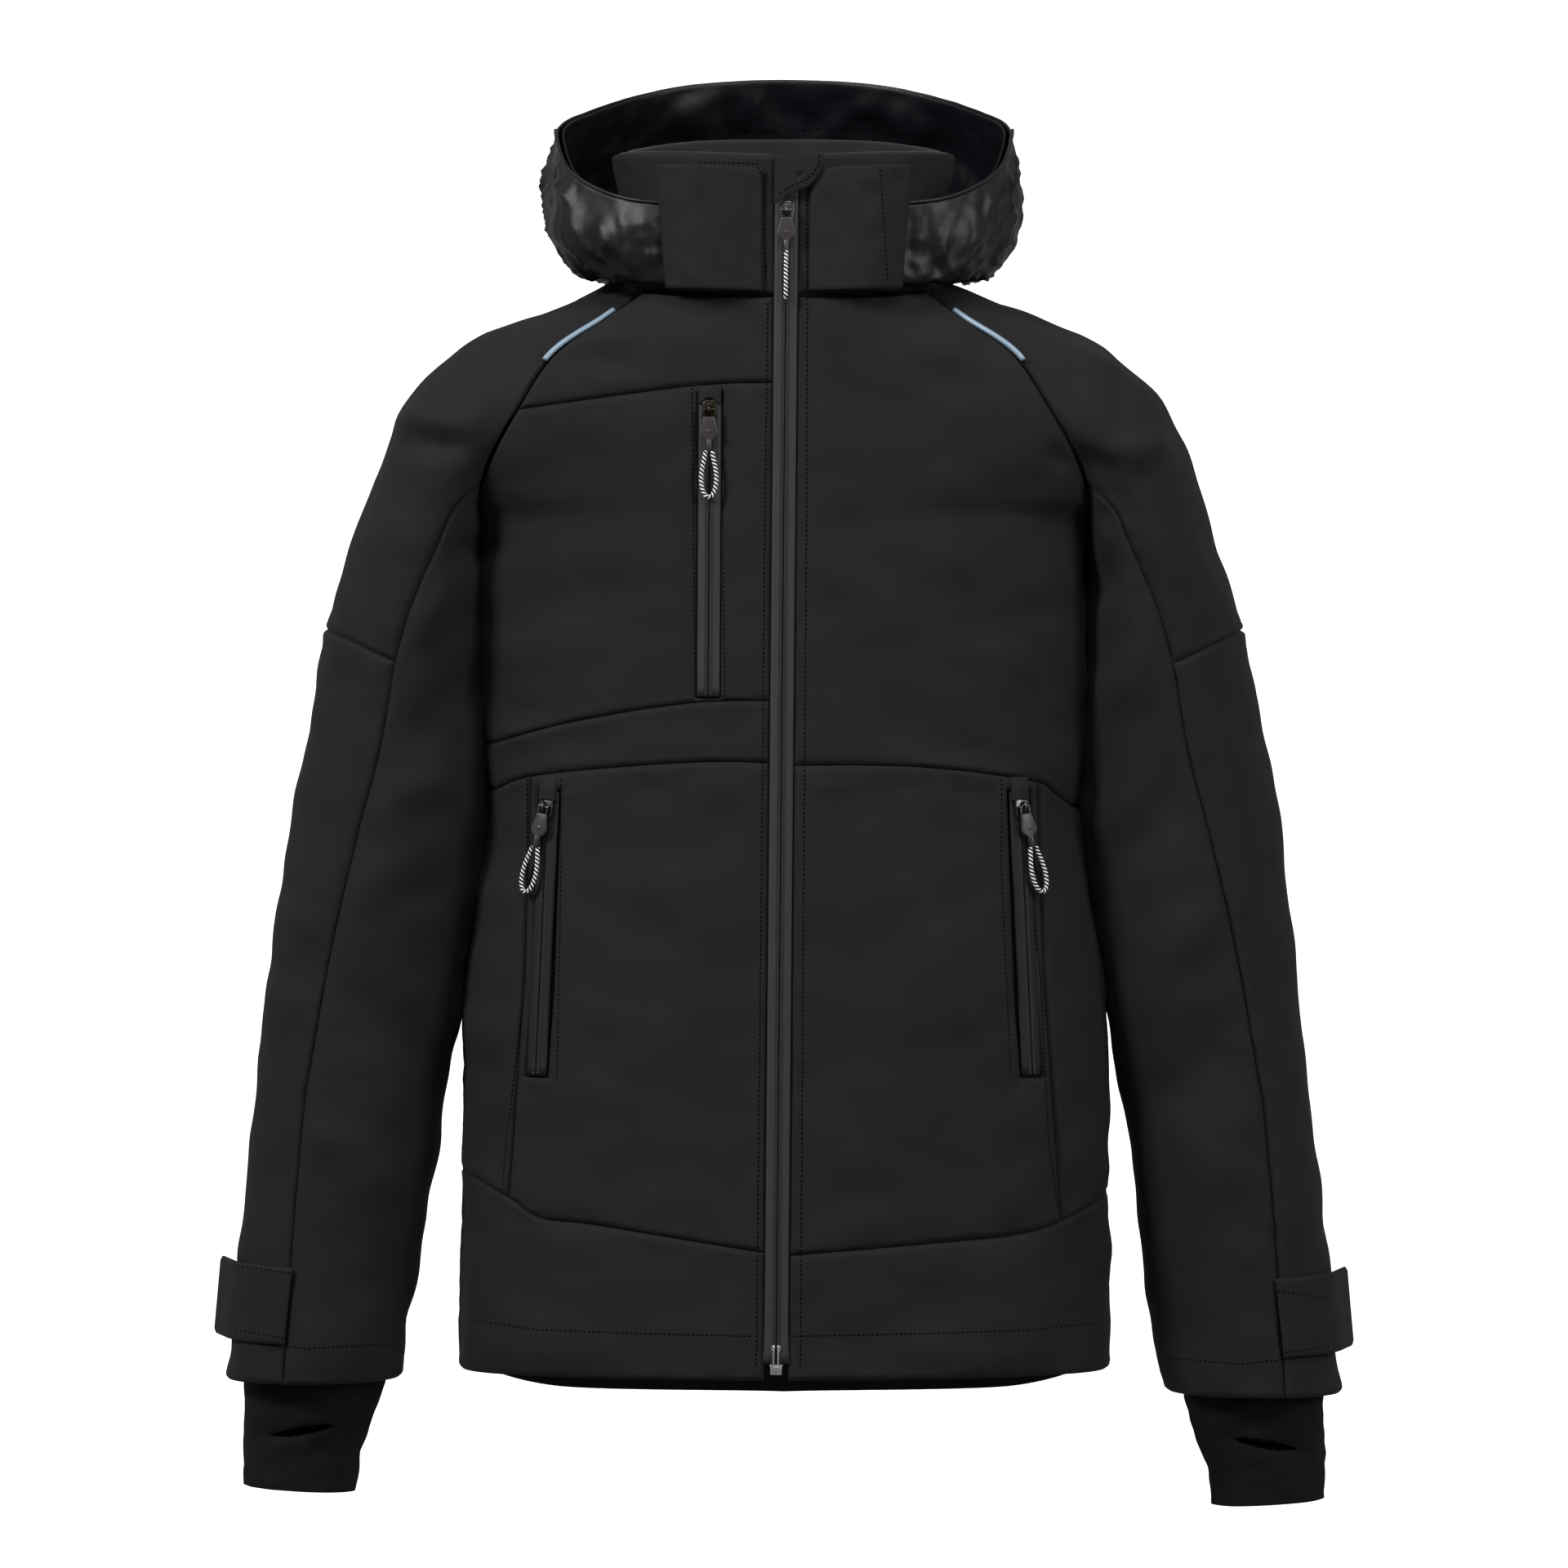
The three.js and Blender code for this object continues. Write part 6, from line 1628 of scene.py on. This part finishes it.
STITCH_LINES = {
    "zip": [[(-10.4, -36), (-12.5, -200), (-14.5, -420), (-17.7, -716)],
            [(14.6, 30), (14.9, -31), (14.2, -200), (12.4, -420), (10.4, -716)]],
    "chest": [[(-58.6, -90), (-56.4, -289)], [(-39.6, -90), (-37.6, -289)]],
    "hem": [[(-203, -683.5), (-157.6, -690.5), (-90, -693), (-17.7, -694.7)],
            [(4, -694.7), (90, -693), (160, -690.5), (208, -685)]],
    "collar": [[(-54.6, 53), (-17.6, 52), (-13.6, 42), (-12.2, 0), (-10.9, -29)], [(61, 52), (66, -24)],
               [(22.5, 58), (22, 51), (18.5, 45.8), (13.8, 41.8), (7.5, 38.9), (0.5, 35.3), (-4.2, 31.6)]],
    "hood": [[(-132, 62.4), (-103.5, 68.6), (-55.6, 74.9), (-7.8, 72.8), (36.9, 74.4), (95, 69),
              (127.9, 63.4)]],
    "cuff": [[(-354, -698), (-303, -702.5), (-241, -699)], [(240, -708), (291, -712.5), (350, -706)]],
    "pocket": [[(-163.5, -339), (-163.5, -410), (-164.5, -468), (-177, -572), (-180, -606)],
               [(-142.0, -339), (-142.0, -400), (-144.5, -530)],
               [(156.5, -345), (157.5, -410), (163.5, -468), (168.5, -572), (175, -618)],
               [(138.5, -339), (138.5, -400), (144.5, -530)]],
    "tab": [[(-352, -649), (-306, -655.5)], [(-302.5, -657), (-303.5, -699)], [(-306, -698), (-352, -690)],
            [(300, -664), (349, -671)], [(297.5, -665), (298, -708)], [(300, -707.5), (349, -701)]],
}


def make_stitching(sizes):
    front = ["yoke_front_right", "chest_panel_right", "chest_band_right", "upper_front_left",
             "lower_front_right", "lower_front_left", "side_front_right", "side_front_left",
             "hem_front_right", "hem_front_left", "collar_flap_right", "collar_flap_left", "collar_shell",
             "zip_garage"]
    sleeves = [f"sleeve_{part}_{WORD[side]}" for part in ("upper", "lower", "inner") for side in SIDES]
    tree = cloth_tree(front)
    for key in ("zip", "chest", "hem", "collar", "pocket"):
        stitch_rows(f"stitches_{key}", tree, STITCH_LINES[key], sizes)
    hood_tree = cloth_tree(["hood_crown_lining", "hood_shell"])
    hood = stitch_rows("stitches_hood", hood_tree, STITCH_LINES["hood"], sizes, None)
    bend_with_hood(hood)
    stitch_rows("stitches_cuff", cloth_tree(sleeves), STITCH_LINES["cuff"], sizes)
    for side, lines in ((RIGHT, STITCH_LINES["tab"][:3]), (LEFT, STITCH_LINES["tab"][3:])):
        tab = f"cuff_tab_{WORD[side]}"
        stitch_rows(f"stitches_tab_{WORD[side]}", cloth_tree([tab]), lines, sizes, tab)


def make_piping(sizes):
    """Reflective piping in the armhole seam, and the binding along the hood's front edge."""
    for side in SIDES:
        t = np.linspace(0.255, 0.445, 40)
        line = spline(FRONT_RAGLAN, t) + np.array((0.42, -0.72, 0.55)) * 1.2
        line[:, 0] *= side
        name = f"piping_{WORD[side]}"
        obj = tube(name, to_scene(line), sizes.piping / 2, "reflective piping", 14)
        settle_piece(obj, name)
        rim = hood_point(np.linspace(0.004, 0.26, 90), np.full(90, 1.0)) + np.array((0.0, 0.0, 0.7))
        rim[:, 0] *= -side
        edge = tube(f"hood_binding_{WORD[side]}", to_scene(rim), 0.0011, "hood nylon", 10)
        settle_piece(edge, None)
        path = to_scene(line)


# ---- studio ---------------------------------------------------------------------


def flat_piece(name, size, location, rotation, colour, glow):
    deselect()
    bpy.ops.mesh.primitive_plane_add(size=1, location=location, rotation=rotation)
    obj = active()
    obj.name = name
    obj.scale = (*size, 1)
    bpy.ops.object.transform_apply(location=True, rotation=True, scale=True)
    material = bpy.data.materials.new(name)
    material.use_nodes = True
    tree = material.node_tree
    shader = tree.nodes["Principled BSDF"]
    shader.inputs["Roughness"].default_value = 0.95
    shader.inputs["Specular IOR Level"].default_value = 0.1
    noise = add_node(tree, "ShaderNodeTexNoise", Scale=3.0, Detail=2.0)
    coords = add_node(tree, "ShaderNodeTexCoord")
    link(tree, coords.outputs["Object"], noise.inputs["Vector"])
    mix = add_node(tree, "ShaderNodeMix", data_type="RGBA")
    mix.inputs["A"].default_value = (*(c * 0.98 for c in colour), 1)
    mix.inputs["B"].default_value = (*colour, 1)
    link(tree, noise.outputs["Fac"], mix.inputs["Factor"])
    link(tree, mix.outputs["Result"], shader.inputs["Base Color"])
    shader.inputs["Emission Color"].default_value = (1, 1, 1, 1)
    shader.inputs["Emission Strength"].default_value = glow
    obj.data.materials.append(material)
    obj.visible_diffuse = False
    obj.visible_glossy = False
    obj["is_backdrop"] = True
    return obj


def soft_light(name, location, target, size, power):
    data = bpy.data.lights.new(name, "AREA")
    data.shape = "RECTANGLE"
    data.size, data.size_y = size
    data.energy = power
    obj = bpy.data.objects.new(name, data)
    obj.location = location
    obj.rotation_euler = (Vector(target) - Vector(location)).to_track_quat("-Z", "Y").to_euler()
    bpy.context.scene.collection.objects.link(obj)


def make_stage(colours):
    scene = bpy.context.scene
    pale = tuple(colours.studio)
    flat_piece("floor", (20, 20), (0, 0, -1.5), (0, 0, 0), pale, 0.25)
    flat_piece("backdrop", (20, 12), (0, 4.6, 3.0), (math.pi / 2, 0, 0), pale, 0.9)
    middle = (0, 0, -0.35)
    soft_light("key", (-2.6, -2.0, 1.9), middle, (0.9, 0.9), 140)
    soft_light("fill", (2.6, -2.2, 0.9), middle, (1.0, 1.4), 60)
    soft_light("top", (0.3, -2.2, 2.6), middle, (1.4, 0.8), 50)
    world = bpy.data.worlds.new("studio")
    world.use_nodes = True
    world.node_tree.nodes["Background"].inputs["Color"].default_value = (1, 1, 1, 1)
    world.node_tree.nodes["Background"].inputs["Strength"].default_value = 0.28
    scene.world = world
    data = bpy.data.cameras.new("camera")
    data.sensor_width = 36
    data.lens = 36 * (FRONT_PLANE_Y - CAMERA.y) / FRAME_WIDTH
    camera = bpy.data.objects.new("camera", data)
    camera.location = CAMERA
    camera.rotation_euler = (math.pi / 2, 0, 0)
    scene.collection.objects.link(camera)
    scene.camera = camera
    scene.view_settings.view_transform = "Standard"


# ---- settings, operators and panel ----------------------------------------------


def length_setting(name, text, default):
    return bpy.props.FloatProperty(name=name, description=text, default=default, min=0.0001,
                                   subtype="DISTANCE", unit="LENGTH")


def colour_setting(name, text, default):
    return bpy.props.FloatVectorProperty(name=name, description=text, default=default, size=3,
                                         subtype="COLOR", min=0, max=1)


class JacketSizes(bpy.types.PropertyGroup):
    """Sizes of the small sewn details."""

    stitch_length: length_setting("Stitch length", "Length of one stitch that shows", 0.0021)
    stitch_pitch: length_setting("Stitch pitch", "Distance from one stitch to the next", 0.0031)
    piping: length_setting("Piping", "Diameter of the reflective piping", 0.0036)


class JacketColours(bpy.types.PropertyGroup):
    """Base colours of the finishes, linear."""

    shell: colour_setting("Shell", "Softshell cloth", (0.0076, 0.0073, 0.0079))
    nylon: colour_setting("Nylon", "Thin nylon of the hood", (0.0075, 0.0085, 0.0115))
    fleece: colour_setting("Fleece", "Inside of the collar", (0.0034, 0.0026, 0.0024))
    tape: colour_setting("Tape", "Zip tape and coil", (0.019, 0.021, 0.0225))
    rubber: colour_setting("Rubber", "Zip pullers", (0.019, 0.0148, 0.0152))
    piping: colour_setting("Piping", "Reflective piping", (0.155, 0.22, 0.285))
    studio: colour_setting("Studio", "Floor and backdrop", (0.93, 0.93, 0.93))


class JacketOperator:
    """What every step of the jacket shares."""

    bl_options = {"REGISTER", "UNDO"}

    def execute(self, context):
        self.build(context.scene.jacket_sizes, context.scene.jacket_colours)
        return {"FINISHED"}


class JACKET_OT_finishes(JacketOperator, bpy.types.Operator):
    """Make the cloth, rubber and metal finishes"""

    bl_idname = "jacket.finishes"
    bl_label = "Finishes"

    def build(self, sizes, colours):
        make_finishes(colours)


class JACKET_OT_stage(JacketOperator, bpy.types.Operator):
    """Set up the camera, lights, floor and backdrop"""

    bl_idname = "jacket.stage"
    bl_label = "Stage"

    def build(self, sizes, colours):
        make_stage(colours)


class JACKET_OT_cords(JacketOperator, bpy.types.Operator):
    """Lay the braided pull cords"""

    bl_idname = "jacket.cords"
    bl_label = "Pull Cords"

    def build(self, sizes, colours):
        make_cords()


class JACKET_OT_body(JacketOperator, bpy.types.Operator):
    """Sew the body panels, linings and pocket bags"""

    bl_idname = "jacket.body"
    bl_label = "Body"

    def build(self, sizes, colours):
        make_body()


class JACKET_OT_sleeves(JacketOperator, bpy.types.Operator):
    """Sew the sleeves, gaiters and cuff tabs"""

    bl_idname = "jacket.sleeves"
    bl_label = "Sleeves"

    def build(self, sizes, colours):
        make_sleeves()
        make_gaiters()
        make_tabs()


class JACKET_OT_collar(JacketOperator, bpy.types.Operator):
    """Sew the collar, its flaps, the zip garage and the hanger loop"""

    bl_idname = "jacket.collar"
    bl_label = "Collar"

    def build(self, sizes, colours):
        make_collar()


class JACKET_OT_hood(JacketOperator, bpy.types.Operator):
    """Lay the hood behind the collar"""

    bl_idname = "jacket.hood"
    bl_label = "Hood"

    def build(self, sizes, colours):
        make_hood()


class JACKET_OT_zips(JacketOperator, bpy.types.Operator):
    """Make the zips, their sliders and pullers"""

    bl_idname = "jacket.zips"
    bl_label = "Zips"

    def build(self, sizes, colours):
        make_zips()
        make_pulls()


class JACKET_OT_trim(JacketOperator, bpy.types.Operator):
    """Add the stitching and piping"""

    bl_idname = "jacket.trim"
    bl_label = "Trim"

    def build(self, sizes, colours):
        make_piping(sizes)
        make_stitching(sizes)


STEPS = (JACKET_OT_finishes, JACKET_OT_stage, JACKET_OT_cords, JACKET_OT_body, JACKET_OT_sleeves,
         JACKET_OT_collar, JACKET_OT_hood, JACKET_OT_zips, JACKET_OT_trim)


class JACKET_PT_panel(bpy.types.Panel):
    """Settings and steps of the ski jacket"""

    bl_label = "Ski Jacket"
    bl_idname = "JACKET_PT_panel"
    bl_space_type = "VIEW_3D"
    bl_region_type = "UI"
    bl_category = "Jacket"

    def draw(self, context):
        layout = self.layout
        for group in (context.scene.jacket_sizes, context.scene.jacket_colours):
            for name in group.__annotations__:
                layout.prop(group, name)
        for step in STEPS:
            layout.operator(step.bl_idname)


CLASSES = (JacketSizes, JacketColours, *STEPS, JACKET_PT_panel)


def register():
    for item in CLASSES:
        bpy.utils.register_class(item)
    bpy.types.Scene.jacket_sizes = bpy.props.PointerProperty(type=JacketSizes)
    bpy.types.Scene.jacket_colours = bpy.props.PointerProperty(type=JacketColours)


def unregister():
    del bpy.types.Scene.jacket_sizes
    del bpy.types.Scene.jacket_colours
    for item in reversed(CLASSES):
        bpy.utils.unregister_class(item)


def main():
    register()
    for step in STEPS:
        group, name = step.bl_idname.split(".")
        if getattr(getattr(bpy.ops, group), name)() != {"FINISHED"}:
            raise RuntimeError(f"{step.bl_label} did not finish")
    plain = lambda box: [[float(v) for v in corner] for corner in box]
    {"start": plain(START_BOUNDS), "end": plain(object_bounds())}


if __name__ == "__main__":
    main()
